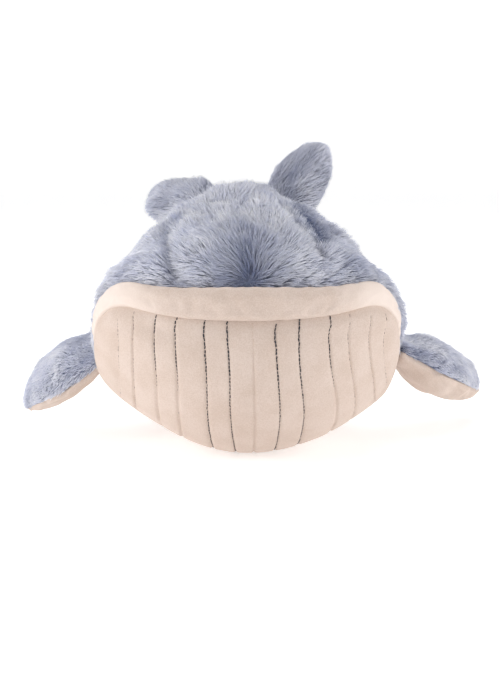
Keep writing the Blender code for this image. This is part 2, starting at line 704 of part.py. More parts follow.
def axes_frame(origin, chord, span):
    """A frame with x along the chord, y along the span squared to it, and z up out of both."""
    along = Vector(chord).normalized()
    out = Vector(span)
    out = (out - along * out.dot(along)).normalized()
    up = along.cross(out)
    return Matrix(((along.x, out.x, up.x, origin[0]), (along.y, out.y, up.y, origin[1]),
                   (along.z, out.z, up.z, origin[2]), (0.0, 0.0, 0.0, 1.0)))


def flipper_frame(droop_angle):
    """A flipper's root on the right side: along the side seam, just off the body, and drooping."""
    form = BodyForm()
    ys = np.linspace(FLIPPER_ROOT_START_Y, FLIPPER_ROOT_END_Y, ROOT_SAMPLES)
    line = form.back_point(ys, np.zeros_like(ys))
    start, end = line[0], line[-1]
    chord = Vector(end - start)
    level = Vector((chord.y, -chord.x, 0.0)).normalized()
    bulge = max(float(np.dot(point - start, level)) for point in line)
    middle = Vector((start + end) / 2.0)
    off = bulge + FLIPPER_ROOT_HALF_THICKNESS + FLIPPER_SEAM_GAP
    origin = middle + level * off
    droop = math.radians(droop_angle)
    span = level * math.cos(droop) - Vector((0.0, 0.0, 1.0)) * math.sin(droop)
    return axes_frame(origin, chord, span)


def make_flippers(finishes):
    """The two flippers, sewn into the side seams behind the mouth corners; the right one stands out more."""
    right = flipper_frame(RIGHT_FLIPPER_DROOP_ANGLE)
    left = Matrix.Diagonal((-1.0, 1.0, 1.0, 1.0)) @ flipper_frame(LEFT_FLIPPER_DROOP_ANGLE)
    sides = (("right", right, RIGHT_FLIPPER_TWIST_ANGLE), ("left", left, LEFT_FLIPPER_TWIST_ANGLE))
    for side, frame, twist in sides:
        form = LeafForm(FLIPPER_ROOT_HALF_CHORD, FLIPPER_HALF_CHORD, FLIPPER_ROOT_HALF_THICKNESS,
                        FLIPPER_HALF_THICKNESS, FLIPPER_LENGTH, FLIPPER_SWEEP, FLIPPER_BLUNTNESS, twist)
        make_leaf(f"{side}_flipper", form, upright(frame), finishes)


def upright(frame):
    """The frame, with its own z turned round where that points down."""
    return frame if frame[2][2] > 0.0 else frame @ Matrix.Diagonal((1.0, 1.0, -1.0, 1.0))


def tail_centre(share):
    """The tail's middle line: level at the joint, then curling up and a little to one side."""
    x = TAIL_ASIDE * share**2
    y = TAIL_JOINT_Y + TAIL_REACH * share
    z = TAIL_JOINT_HEIGHT + TAIL_RISE * share**2
    return np.stack(np.broadcast_arrays(x, y, z), -1)


def tail_ahead(share):
    """Way along the tail's middle line, seen from the side."""
    way = np.stack(np.broadcast_arrays(0.0 * share, TAIL_REACH + 0.0 * share, 2.0 * TAIL_RISE * share), -1)
    return way / np.linalg.norm(way, axis=-1, keepdims=True)


def tail_sizes(share, inset):
    """Half width and half height of the tail along it."""
    half_width = blend(TAIL_HALF_WIDTH, TAIL_END_HALF_WIDTH, settle(share / TAIL_TAPER_SHARE)) - inset
    half_height = blend(TAIL_HALF_HEIGHT, TAIL_END_HALF_HEIGHT, settle(share / TAIL_TAPER_SHARE)) - inset
    closing = np.sqrt(np.clip(1.0 - share**TAIL_BLUNTNESS, 0.0, 1.0))
    return half_width * closing, half_height * closing


def tail_half(inset, side, edge_inset):
    """Upper or under half of the tail: its round root, then its length to a blunt end."""
    turns = np.linspace(0.0, math.pi, LEAF_COLUMNS)[None, :]
    bends = np.radians(ROOT_BENDS)[:, None]
    half_width, half_height = tail_sizes(np.zeros((1, 1)), inset)
    half_width = half_width + inset - edge_inset
    radius = half_height * np.sin(turns)
    depth = (half_height + inset - edge_inset) * np.sin(turns)
    root = np.stack(np.broadcast_arrays(half_width * np.cos(turns), TAIL_JOINT_Y - depth * np.cos(bends),
                                        TAIL_JOINT_HEIGHT + side * radius * np.sin(bends)), -1)
    share = np.sin(np.linspace(0.0, math.pi / 2.0, LEAF_ROWS))[:, None]
    half_width, half_height = tail_sizes(share, inset)
    closing = np.sqrt(np.clip(1.0 - share**TAIL_BLUNTNESS, 0.0, 1.0))
    half_width = half_width + (inset - edge_inset) * closing
    shrunk = share * (1.0 - edge_inset / TAIL_REACH)
    ahead = tail_ahead(shrunk)
    up = np.stack(np.broadcast_arrays(0.0 * share, -ahead[..., 2], ahead[..., 1]), -1)
    across = np.stack(np.broadcast_arrays(half_width * np.cos(turns), 0.0 * turns, 0.0 * turns), -1)
    rise = (side * half_height * np.sin(turns))[..., None] * up
    return np.concatenate([root, tail_centre(shrunk) + across + rise])


def make_tail(finishes):
    """The tail stock, with a round root that turns in the body's socket."""
    fur, velour, filling = finishes
    half_gap = TOUCH_GAP / 2.0
    for part, side, cloth, finish in (("tail_top_cover", 1.0, FUR_THICKNESS, fur),
                                      ("tail_under_cover", -1.0, VELOUR_THICKNESS, velour)):
        shift = np.array([0.0, 0.0, side * half_gap])
        slab(part, tail_half(0.0, side, 0.0) + shift, tail_half(cloth, side, cloth) + shift, finish)
    edge = FUR_THICKNESS + LIMB_STUFFING_GAP
    upper = tail_half(edge, 1.0, edge)
    under = tail_half(VELOUR_THICKNESS + LIMB_STUFFING_GAP, -1.0, edge)
    rows, columns = upper.shape[:2]
    faces = np.concatenate([sheet_faces(rows, columns), sheet_faces(rows, columns, rows * columns)[:, ::-1]])
    add_mesh("tail_stuffing", np.concatenate([upper.reshape(-1, 3), under.reshape(-1, 3)]), faces, filling)


def fluke_frame(sign, rise_angle, seat):
    """A fluke's root along the side of the tail's end, pressed in by its seat."""
    reach = FLUKE_ROOT_HALF_CHORD / math.hypot(TAIL_REACH, TAIL_RISE)
    shares = np.linspace(FLUKE_ROOT_SHARE - reach, FLUKE_ROOT_SHARE + reach, ROOT_SAMPLES)
    line = tail_centre(shares)
    line[:, 0] += sign * tail_sizes(shares, 0.0)[0]
    start, end = Vector(line[0]), Vector(line[-1])
    chord = (end - start).normalized()
    aside = Vector((sign, 0.0, 0.0))
    out = (aside - chord * aside.dot(chord)).normalized()
    bulge = max(float(np.dot(point - line[0], out)) for point in line)
    off = bulge + FLUKE_ROOT_HALF_THICKNESS + TOUCH_GAP - seat
    up = Vector((0.0, -chord.z, chord.y)).normalized()
    rise = math.radians(rise_angle)
    span = out * math.cos(rise) + up * math.sin(rise)
    return axes_frame((start + end) / 2.0 + out * off, chord, span)


def make_flukes(finishes):
    """The two flukes, the right one sewn on a little higher than the left."""
    form = LeafForm(FLUKE_ROOT_HALF_CHORD, FLUKE_HALF_CHORD, FLUKE_ROOT_HALF_THICKNESS,
                    FLUKE_HALF_THICKNESS, FLUKE_LENGTH, FLUKE_SWEEP, FLUKE_BLUNTNESS, 0.0)
    left = fluke_frame(-1.0, LEFT_FLUKE_RISE_ANGLE, LEFT_FLUKE_SEAT)
    right = fluke_frame(1.0, RIGHT_FLUKE_RISE_ANGLE, RIGHT_FLUKE_SEAT)
    for side, frame in (("left", left), ("right", right)):
        make_leaf(f"{side}_fluke", form, upright(frame), finishes)


def turned(name, profile, frame, finish):
    """A round piece: a closed (radius, height) profile turned about its axis and placed by a frame."""
    angles = np.linspace(0.0, 2.0 * math.pi, ROUND_SIDES, endpoint=False)[:, None]
    radius, height = np.array(profile).T
    rings = np.stack(np.broadcast_arrays(radius * np.cos(angles), radius * np.sin(angles), height), -1)
    wrapped = np.concatenate([rings, rings[:1]])
    rows, columns = wrapped.shape[:2]
    faces = sheet_faces(rows, columns, closed=True)
    return add_mesh(name, place(wrapped.reshape(-1, 3), frame), faces, finish)


def cut(target, cutter):
    """Cut one object with another, which stays as a hidden guide."""
    cutter.hide_render = True
    cutter.display_type = "WIRE"
    modifier = target.modifiers.new("cut_" + cutter.name, "BOOLEAN")
    modifier.operation = "DIFFERENCE"
    modifier.solver = "EXACT"
    modifier.object = cutter


def eye_frame(sign):
    """The eye's seat on the fur, with z pointing out of the head."""
    form = BodyForm()
    y = np.array(EYE_Y)
    z = seam_height(y) + EYE_ABOVE_SEAM
    share = EYE_ABOVE_SEAM / (form.top(y) - seam_height(y))
    x = form.half_width(y) * np.sqrt(1.0 - share ** (2.0 / form.back_lean(y)))
    point = draw_in(np.array([float(x), EYE_Y, float(z)]))
    out = surface_way(form, (float(x), EYE_Y, float(z)))
    out = Vector((sign * out.x, out.y, out.z))
    chord = out.orthogonal()
    up = out.cross(chord)
    origin = Vector((sign * point[0], point[1], point[2])) + out * TOUCH_GAP
    return Matrix(((chord.x, up.x, out.x, origin.x), (chord.y, up.y, out.y, origin.y),
                   (chord.z, up.z, out.z, origin.z), (0.0, 0.0, 0.0, 1.0)))


def make_eyes(covers, stuffing, black, white):
    """Two safety eyes: a domed button whose shank goes through the fur into a washer."""
    washer_face = -(TOUCH_GAP + FUR_THICKNESS + WASHER_SEAT)
    washer_back = washer_face - WASHER_THICKNESS
    shank_tip = washer_back - SHANK_END
    bore = EYE_SHANK_RADIUS + TOUCH_GAP
    dome_turns = np.linspace(0.0, math.pi / 2.0, DOME_STATIONS)
    dome = [(EYE_RADIUS * math.cos(turn), EYE_RIM + EYE_DOME * math.sin(turn)) for turn in dome_turns]
    for side, sign in (("left", -1.0), ("right", 1.0)):
        frame = eye_frame(sign)
        shank = [(0.0, shank_tip), (EYE_SHANK_RADIUS, shank_tip), (EYE_SHANK_RADIUS, 0.0)]
        turned(f"{side}_eye", shank + [(EYE_RADIUS, 0.0)] + dome, frame, black)
        ring = [(bore, washer_back), (WASHER_RADIUS, washer_back),
                (WASHER_RADIUS, washer_face), (bore, washer_face)]
        turned(f"{side}_eye_washer", ring, frame, white)
        drilled = [(0.0, shank_tip), (bore, shank_tip), (bore, CUT_OVERRUN), (0.0, CUT_OVERRUN)]
        hole = turned(f"{side}_shank_hole", drilled, frame, black)
        cut(covers[side], hole)
        wide = WASHER_RADIUS + POCKET_CLEARANCE
        deep = shank_tip - POCKET_CLEARANCE
        hollow = [(0.0, deep), (wide, deep), (wide, CUT_OVERRUN), (0.0, CUT_OVERRUN)]
        pocket = turned(f"{side}_washer_pocket", hollow, frame, black)
        cut(stuffing, pocket)


def make_closing_thread(pale):
    """The hand-sewn closing seam, along the left side seam towards the tail."""
    form = BodyForm()
    ys = np.linspace(CLOSING_START_Y, CLOSING_END_Y, CLOSING_STATIONS)
    line = form.back_point(ys, np.zeros_like(ys))
    out = np.broadcast_to(np.array([1.0, 0.0, 0.0]), line.shape)
    path = line + out * CLOSING_STAND_OFF
    thread("closing_seam_thread", mirrored(path), mirrored(out), pale)


def main():
    """Build every piece of the whale."""
    clear_scene()
    fur = material("back_fur", (0.36, 0.40, 0.50), 0.95)
    velour = material("cream_velour", (0.80, 0.66, 0.56), 0.90)
    filling = material("stuffing", (0.90, 0.90, 0.88), 0.95)
    dark = material("dark_thread", (0.06, 0.07, 0.12), 0.60)
    pale = material("cream_thread", (0.74, 0.60, 0.50), 0.70)
    black = material("eye_black", (0.01, 0.01, 0.012), 0.10)
    white = material("eye_washer", (0.80, 0.80, 0.78), 0.45)
    finishes = (fur, velour, filling)
    left, right, throat_outer = make_body_covers(fur, velour)
    stuffing = make_body_stuffing(filling)
    make_pleat_threads(throat_outer, dark, pale)
    make_lip(velour, filling)
    make_flippers(finishes)
    make_tail(finishes)
    make_flukes(finishes)
    make_eyes({"left": left, "right": right}, stuffing, black, white)
    make_closing_thread(pale)


main()
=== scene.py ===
"""The plush whale of the photograph: fur, velour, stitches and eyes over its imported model."""

import logging
import math
from dataclasses import dataclass
from enum import Enum
from typing import Optional, Union

import bmesh
import bpy
import numpy as np
from mathutils import Matrix, Vector


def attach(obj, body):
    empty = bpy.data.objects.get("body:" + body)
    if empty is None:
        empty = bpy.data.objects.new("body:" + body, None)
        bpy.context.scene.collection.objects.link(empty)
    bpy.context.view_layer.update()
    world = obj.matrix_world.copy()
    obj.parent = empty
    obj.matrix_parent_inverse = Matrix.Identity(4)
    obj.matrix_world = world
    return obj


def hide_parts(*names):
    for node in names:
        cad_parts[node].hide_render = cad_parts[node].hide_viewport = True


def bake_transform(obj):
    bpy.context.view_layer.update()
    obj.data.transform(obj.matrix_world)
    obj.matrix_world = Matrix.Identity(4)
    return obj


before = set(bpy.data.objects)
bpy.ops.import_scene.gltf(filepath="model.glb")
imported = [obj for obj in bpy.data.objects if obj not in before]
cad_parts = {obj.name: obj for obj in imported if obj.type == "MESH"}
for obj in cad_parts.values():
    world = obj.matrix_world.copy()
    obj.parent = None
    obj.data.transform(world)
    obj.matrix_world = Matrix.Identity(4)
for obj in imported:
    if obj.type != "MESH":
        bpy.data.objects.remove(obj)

log = logging.getLogger("whale")
Array = np.ndarray
Colour = tuple[float, float, float]
HASH_FACTORS = (374761393, 668265263, 2246822519, 3266489917)
HASH_MIXER = 1274126177
CLOTH_FRAMES = 20


class Side(Enum):
    """The two sides of the whale, with the sign of x on each."""

    LEFT = -1.0
    RIGHT = 1.0


class Show(Enum):
    """How plainly a row of stitches shows in the pile."""

    PLAIN = 0
    BROKEN = 1
    FAINT = 2


def settle(share: Array) -> Array:
    """Ease from 0 to 1 with flat ends: 3 s^2 - 2 s^3."""
    held = np.clip(share, 0.0, 1.0)
    return held * held * (3.0 - 2.0 * held)


def blend(start: Array, end: Array, share: Array) -> Array:
    """Go from start to end by a share."""
    return start + (end - start) * share


def quarter(share: Array, power: float) -> Array:
    """A quarter of a superellipse, steep at 0 and level at 1."""
    left = 1.0 - np.clip(share, 0.0, 1.0)
    return (1.0 - left**power) ** (1.0 / power)


def unit(vectors: Array) -> Array:
    """Vectors scaled to length 1."""
    return vectors / np.maximum(np.linalg.norm(vectors, axis=-1, keepdims=True), 1e-12)


def noise(points: Array, size: float, seed: int) -> Array:
    """Smooth noise from -1 to 1.

    Each lattice corner gets a hashed number, and a point takes the eased mix of its cell's eight corners.

    Args:
        points: places, with x, y and z last.
        size: the side of a lattice cell in metres.
        seed: which of many patterns to give.

    Returns:
        One number for each point.
    """
    scaled = points / size + 37.3
    cell = np.floor(scaled).astype(np.int64)
    inside = scaled - cell
    eased = inside * inside * (3.0 - 2.0 * inside)
    total = np.zeros(points.shape[:-1])
    for corner in np.ndindex(2, 2, 2):
        at = cell + np.array(corner)
        mixed = sum(at[..., axis] * HASH_FACTORS[axis] for axis in range(3)) + seed * HASH_FACTORS[3]
        mixed = (mixed ^ (mixed >> 13)) * HASH_MIXER
        value = ((mixed ^ (mixed >> 16)) & 0xFFFF) / 32767.5 - 1.0
        weight = np.prod(np.where(np.array(corner) == 1, eased, 1.0 - eased), axis=-1)
        total += value * weight
    return total


def normals_of(grid: Array) -> Array:
    """Unit normals of a grid whose rows are arcs, the cross product of its two central differences.

    Args:
        grid: points in rows and columns.

    Returns:
        One normal for each point, on the side away from the middle of its row.
    """
    down = np.gradient(grid, axis=0)
    across = np.gradient(grid, axis=1)
    way = np.cross(across, down)
    weak = np.linalg.norm(way, axis=-1) < 1e-12
    way = unit(way)
    if weak[0].any():
        way[0] = unit(way[1].mean(axis=0, keepdims=True))
    if weak[-1].any():
        way[-1] = unit(way[-2].mean(axis=0, keepdims=True))
    return way * np.sign(np.sum(way * (grid - grid.mean(axis=1, keepdims=True))))


def rounded(grid: Array) -> Array:
    """Where one subdivision puts a grid's own vertices: an eighth of each neighbour and the rest its own."""
    for axis in (0, 1):
        moved = np.moveaxis(grid, axis, 0).copy()
        moved[1:-1] = 0.75 * moved[1:-1] + 0.125 * (moved[:-2] + moved[2:])
        grid = np.moveaxis(moved, 0, axis)
    return grid


def sheet_faces(rows: int, columns: int, first: int = 0) -> Array:
    """Four-sided faces over a grid of vertices, in rows of columns."""
    index = first + np.arange(rows * columns).reshape(rows, columns)
    faces = np.stack([index[:-1, :-1], index[:-1, 1:], index[1:, 1:], index[1:, :-1]], -1)
    return faces.reshape(-1, 4)


def dress(name: str, vertices: Array, faces: list, material: bpy.types.Material, merge: float = 0.0,
          thin: float = 0.0, outwards: bool = True) -> bpy.types.Object:
    """Make a piece from vertices and faces.

    Args:
        name: the piece's name.
        vertices: points, x, y and z last.
        faces: faces of three or four corners each.
        material: its finish.
        merge: how near to each other vertices are joined, or 0 to join none.
        thin: how short the edges of a face without area may be that goes, or 0 to keep all.
        outwards: whether to turn the faces outwards.

    Returns:
        The new object, smooth shaded.
    """
    mesh = bpy.data.meshes.new(name)
    mesh.from_pydata(vertices.reshape(-1, 3).tolist(), [], faces)
    work = bmesh.new()
    work.from_mesh(mesh)
    if merge > 0.0:
        bmesh.ops.remove_doubles(work, verts=work.verts, dist=merge)
    if thin > 0.0:
        bmesh.ops.dissolve_degenerate(work, edges=work.edges, dist=thin)
    if outwards:
        bmesh.ops.recalc_face_normals(work, faces=work.faces)
    work.to_mesh(mesh)
    work.free()
    return piece(name, mesh, material)


def piece(name: str, mesh: bpy.types.Mesh, material: bpy.types.Material) -> bpy.types.Object:
    """Put a mesh into the scene as a smooth object with one material."""
    mesh.shade_smooth()
    mesh.materials.append(material)
    thing = bpy.data.objects.new(name, mesh)
    bpy.context.scene.collection.objects.link(thing)
    return thing


def slab(name: str, outer: Array, inner: Array, material: bpy.types.Material) -> bpy.types.Object:
    """A cloth between two matching grids of points, closed by a strip round its four edges."""
    rows, columns = outer.shape[:2]
    count = rows * columns
    index = np.arange(count).reshape(rows, columns)
    edge = np.concatenate([index[0, :-1], index[:-1, -1], index[-1, :0:-1], index[:0:-1, 0]])
    after = np.roll(edge, -1)
    rim = np.stack([edge, edge + count, after + count, after], -1)
    faces = np.concatenate([sheet_faces(rows, columns), sheet_faces(rows, columns, count)[:, ::-1], rim])
    return dress(name, np.stack([outer, inner]), faces.tolist(), material, merge=2e-6, thin=1e-6)


def fix(thing: bpy.types.Object, body: str, slot: str, *nodes: str, fill: float = 0.0) -> None:
    """Let a piece ride on a body, and hide the nodes that it replaces."""
    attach(thing, body)
    declare(thing, slot, *nodes, fill=fill)


def declare(thing: bpy.types.Object, slot: str, *nodes: str, fill: float = 0.0) -> None:
    """Hide the imported nodes that a piece replaces."""
    if nodes:
        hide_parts(*nodes)
    fill > 0.0


def stitches_of(name: str, rings: Array, ends: Array, material: bpy.types.Material) -> bpy.types.Object:
    """Make a row of stitches, each a strand of four rings with a point at either end.

    Args:
        name: the piece's name.
        rings: the stitches' rings, each a turn of points.
        ends: the two end points of each stitch.
        material: their thread.

    Returns:
        The new object.
    """
    count, levels, around = rings.shape[:3]
    vertices = np.concatenate([rings.reshape(count, levels * around, 3), ends], axis=1)
    corner = np.arange(around)
    after = (corner + 1) % around
    bands = [np.stack([corner, after, after + around, corner + around], -1) + around * band
             for band in range(levels - 1)]
    top, last = levels * around, (levels - 1) * around
    caps = np.concatenate([np.stack([np.full(around, top), after, corner], -1),
                           np.stack([np.full(around, top + 1), corner + last, after + last], -1)])
    shift = np.arange(count)[:, None, None] * (top + 2)
    quads = (np.concatenate(bands)[None] + shift).reshape(-1, 4)
    return dress(name, vertices, quads.tolist() + (caps[None] + shift).reshape(-1, 3).tolist(), material)


def places_of(thing: bpy.types.Object) -> Array:
    """The vertices of an object's own mesh."""
    found = np.empty(len(thing.data.vertices) * 3)
    thing.data.vertices.foreach_get("co", found)
    return found.reshape(-1, 3)


def found_in(spots: Array, held: Array, digits: int) -> Array:
    """Whether each spot is one of the held points, both rounded to so many digits."""
    known = {tuple(spot) for spot in np.round(held, digits)}
    return np.array([tuple(spot) in known for spot in np.round(spots, digits)])


def puff(thing: bpy.types.Object, sewn: Array, pressure: float, cap: float, spare: float) -> None:
    """Swell a cloth between its sewn lines by cloth simulation, and keep the result in the mesh.

    Args:
        thing: the cloth.
        sewn: true for each vertex that a seam holds.
        pressure: how hard the filling presses.
        cap: the most that a point may move, in metres.
        spare: share by which the cloth is larger than its place, which gives it wrinkles.
    """
    before = places_of(thing)
    thing.vertex_groups.new(name="sewn").add(np.flatnonzero(sewn).tolist(), 1.0, "REPLACE")
    cloth = thing.modifiers.new("cloth", "CLOTH")
    wanted = dict(quality=6, mass=0.25, tension_stiffness=18.0, compression_stiffness=18.0, shear_stiffness=8.0,
                  bending_stiffness=0.25, air_damping=2.0, shrink_min=-spare, use_pressure=True,
                  uniform_pressure_force=pressure, vertex_group_mass="sewn")
    for key, value in wanted.items():
        setattr(cloth.settings, key, value)
    cloth.settings.effector_weights.gravity = 0.0
    cloth.collision_settings.use_collision = False
    for step in range(1, CLOTH_FRAMES + 1):
        bpy.context.scene.frame_set(step)
    held = thing.evaluated_get(bpy.context.evaluated_depsgraph_get()).to_mesh()
    after = np.empty(len(held.vertices) * 3)
    held.vertices.foreach_get("co", after)
    moved = after.reshape(-1, 3) - before
    far = np.linalg.norm(moved, axis=1, keepdims=True)
    moved *= cap * np.tanh(far / cap) / np.maximum(far, 1e-9)
    thing.modifiers.remove(cloth)
    thing.vertex_groups.clear()
    thing.data.vertices.foreach_set("co", (before + moved).ravel())
    thing.data.update()
    bpy.context.scene.frame_set(1)
    log.info("%s swelled by up to %.1f mm", thing.name, 1000.0 * float(far.max()))


def finish_cloth(thing: bpy.types.Object, thickness: float, floor: Optional[float] = None) -> None:
    """Round a cloth by one subdivision, give it its thickness inwards and lay it on the floor."""
    if floor is not None:
        spots = places_of(thing)
        spots[:, 2] = np.maximum(spots[:, 2], floor)
        thing.data.vertices.foreach_set("co", spots.ravel())
    smooth = thing.modifiers.new("rounding", "SUBSURF")
    smooth.levels = smooth.render_levels = 1
    if thickness > 0.0:
        wall = thing.modifiers.new("thickness", "SOLIDIFY")
        wall.thickness = thickness
        wall.offset = -1.0


class Term:
    """A number socket on which Python's operators add Math nodes."""

    def __init__(self, tree: "Tree", socket: bpy.types.NodeSocket) -> None:
        """Wrap one socket of a tree."""
        self.tree = tree
        self.socket = socket

    def math(self, operation: str, *values: Union["Term", float]) -> "Term":
        """Add one Math node over these values."""
        made = self.tree.node("ShaderNodeMath", {"operation": operation}, dict(enumerate(values)))
        return Term(self.tree, made.outputs[0])

    def __add__(self, other: Union["Term", float]) -> "Term":
        """This plus another."""
        return self.math("ADD", self, other)

    def __sub__(self, other: Union["Term", float]) -> "Term":
        """This less another."""
        return self.math("SUBTRACT", self, other)

    def __mul__(self, other: Union["Term", float]) -> "Term":
        """This times another."""
        return self.math("MULTIPLY", self, other)

    def held(self) -> "Term":
        """This kept between 0 and 1."""
        return self.math("MINIMUM", self.math("MAXIMUM", self, 0.0), 1.0)

    def ramp(self, low: float, high: float) -> "Term":
        """Ease from 0 at low to 1 at high."""
        made = self.tree.node("ShaderNodeMapRange", {"interpolation_type": "SMOOTHSTEP"},
                              {"Value": self, "From Min": low, "From Max": high})
        return Term(self.tree, made.outputs["Result"])


class Tree:
    """A material's node tree with one Principled shader."""

    def __init__(self, name: str) -> None:
        """Start a material of this name."""
        self.material = bpy.data.materials.new(name)
        self.material.use_nodes = True
        self.shader = self.material.node_tree.nodes["Principled BSDF"]
        self.place = self.node("ShaderNodeTexCoord").outputs["Object"]

    def node(self, kind: str, settings: Optional[dict] = None, inputs: Optional[dict] = None) -> bpy.types.Node:
        """Add a node.

        Args:
            kind: the node's type.
            settings: its own settings, set first.
            inputs: values or links of its sockets, by name or number.

        Returns:
            The new node.
        """
        made = self.material.node_tree.nodes.new(kind)
        for key, value in (settings or {}).items():
            setattr(made, key, value)
        for key, value in (inputs or {}).items():
            self.feed(made.inputs[key], value)
        return made

    def feed(self, socket: bpy.types.NodeSocket, value: object) -> None:
        """Link a socket or give it a value."""
        if isinstance(value, Term):
            value = value.socket
        if isinstance(value, bpy.types.NodeSocket):
            self.material.node_tree.links.new(value, socket)
        elif isinstance(value, tuple) and len(value) == 3 and socket.type == "RGBA":
            socket.default_value = (*value, 1.0)
        else:
            socket.default_value = value

    def grain(self, size: float, detail: float = 2.0, stretch: Optional[Colour] = None) -> Term:
        """Noise from 0 to 1 over the piece's own coordinates, with lumps of this size in metres."""
        place = self.place
        if stretch is not None:
            place = self.node("ShaderNodeMapping", None, {"Vector": place, "Scale": stretch}).outputs[0]
        made = self.node("ShaderNodeTexNoise", None, {"Vector": place, "Scale": 1.0 / size, "Detail": detail})
        return Term(self, made.outputs["Fac"])

    def attribute(self, name: str) -> Term:
        """A number that the piece's mesh keeps for each point."""
        return Term(self, self.node("ShaderNodeAttribute", {"attribute_name": name}).outputs["Fac"])

    def mix(self, near: object, far: object, share: Union[Term, float]) -> bpy.types.NodeSocket:
        """Mix two colours by a share."""
        made = self.node("ShaderNodeMix", {"data_type": "RGBA"}, {0: share, 6: near, 7: far})
        return made.outputs[2]

    def bump(self, height: Term, strength: float, distance: float) -> None:
        """Feed a bump of this height to the shader's normal."""
        made = self.node("ShaderNodeBump", None, {"Height": height, "Strength": strength, "Distance": distance})
        self.feed(self.shader.inputs["Normal"], made.outputs[0])

    def set(self, **values: object) -> bpy.types.Material:
        """Set the shader's sockets, whose names are given with underscores, and give the material."""
        for key, value in values.items():
            self.feed(self.shader.inputs[key.replace("_", " ")], value)
        return self.material


def linear(red: float, green: float, blue: float) -> Colour:
    """A colour as numbers from 0 to 255 turned into the shader's linear numbers."""
    shares = [value / 255.0 for value in (red, green, blue)]
    return tuple(share / 12.92 if share <= 0.04045 else ((share + 0.055) / 1.055) ** 2.4 for share in shares)


@dataclass(frozen=True)
class FurFinish:
    """Blue-grey pile: dark at the root, pale and a little lilac at the tip, with soft deeper patches, and deep
    blue painted shade where it parts, in the fold and on the far side of the head.
    """

    name: str = "fur_pile"
    root: Colour = linear(138, 145, 172)
    dark: Colour = linear(182, 188, 216)
    pale: Colour = linear(250, 250, 255)
    # the deep blue of soft patches and of painted shade
    patch_and_shade_blue: Colour = linear(76, 92, 136)

    def build(self) -> bpy.types.Material:
        """Make the material from the strands' own numbers: along, tone, and the depth of colour that holds soft
        patches and painted shade.
        """
        tree = Tree(self.name)
        along, tone, shade = (tree.attribute(name) for name in ("along", "tone", "shade"))
        body = tree.mix(self.dark, self.pale, (tone * 0.75 + along * 0.45 - 0.1).held())
        grown = tree.mix(self.root, body, (along * 1.7 + 0.12).held())
        # deep blue mixed in: soft patches, and painted shade at the parting, in the fold and on the far side
        colour = tree.mix(grown, self.patch_and_shade_blue, shade * 0.72)
        return tree.set(Base_Color=colour, Roughness=0.72, Sheen_Weight=0.38, Sheen_Roughness=0.5,
                        Specular_IOR_Level=0.25)


@dataclass(frozen=True)
class FurGroundFinish:
    """The woven ground below the pile, seen only between the strands."""

    name: str = "fur_ground"
    low: Colour = linear(98, 106, 132)
    high: Colour = linear(132, 139, 162)

    def build(self) -> bpy.types.Material:
        """Make the material from fine and coarse noise."""
        tree = Tree(self.name)
        fine, coarse = tree.grain(0.0012), tree.grain(0.012)
        tree.bump(fine, 0.8, 0.0008)
        return tree.set(Base_Color=tree.mix(self.low, self.high, (fine * 0.6 + coarse * 0.4).ramp(0.35, 0.65)),
                        Roughness=0.95)


@dataclass(frozen=True)
class VelourFinish:
    """Short cream pile with a nap that shades in soft patches and a fine tooth, and a painted highlight where a
    piece's pale number is set.
    """

    name: str = "cream_pile"
    low: Colour = linear(194, 175, 162)
    high: Colour = linear(208, 192, 182)
    rose: Colour = linear(208, 178, 163)
    painted_highlight: Colour = linear(226, 212, 203)

    def build(self) -> bpy.types.Material:
        """Make the material: patches of nap, specks of pile and a bump of both, with a painted highlight where
        the pale number is set, on the lip's ends.
        """
        tree = Tree(self.name)
        patch = tree.grain(0.022, 3.0)
        tooth = tree.grain(0.0010, 2.0)
        nap = tree.grain(0.0050, 3.0, (1.0, 1.0, 0.45))
        base = tree.mix(self.low, self.high, (patch * 0.35 + tooth * 0.65).ramp(0.32, 0.68))
        colour = tree.mix(base, self.rose, nap.ramp(0.55, 0.85) * 0.14)
        # painted highlight on the lip's ends, which face the side lights
        colour = tree.mix(colour, self.painted_highlight, tree.attribute("pale") * 0.85)
        tree.bump(tooth * 0.6 + nap * 0.4, 0.45, 0.0007)
        return tree.set(Base_Color=colour, Roughness=0.92, Sheen_Weight=0.35, Sheen_Roughness=0.45,
                        Sheen_Tint=linear(255, 240, 230), Specular_IOR_Level=0.2)


@dataclass(frozen=True)
class ThreadFinish:
    """Spun sewing thread with a fine twist."""

    name: str
    colour: Colour
    fleck: Colour

    def build(self) -> bpy.types.Material:
        """Make the material from a fine noise along the thread."""
        tree = Tree(self.name)
        twist = tree.grain(0.0004, 1.0)
        tree.bump(twist, 0.5, 0.0002)
        return tree.set(Base_Color=tree.mix(self.colour, self.fleck, twist.ramp(0.45, 0.75)), Roughness=0.6,
                        Sheen_Weight=0.1)


@dataclass(frozen=True)
class EyeFinish:
    """Glossy black plastic with a coat and faint moulding haze."""

    name: str = "eye_gloss"
    colour: Colour = linear(14, 13, 15)

    def build(self) -> bpy.types.Material:
        """Make the material."""
        tree = Tree(self.name)
        haze = tree.grain(0.002, 2.0)
        return tree.set(Base_Color=tree.mix(self.colour, linear(24, 22, 26), haze),
                        Roughness=haze * 0.06 + 0.06, Coat_Weight=0.6, Coat_Roughness=0.04)


@dataclass(frozen=True)
class WasherFinish:
    """Milky plastic of the locking washers."""

    name: str = "washer_plastic"

    def build(self) -> bpy.types.Material:
        """Make the material."""
        tree = Tree(self.name)
        haze = tree.grain(0.003, 2.0)
        return tree.set(Base_Color=tree.mix(linear(222, 222, 218), linear(236, 236, 233), haze), Roughness=0.45)


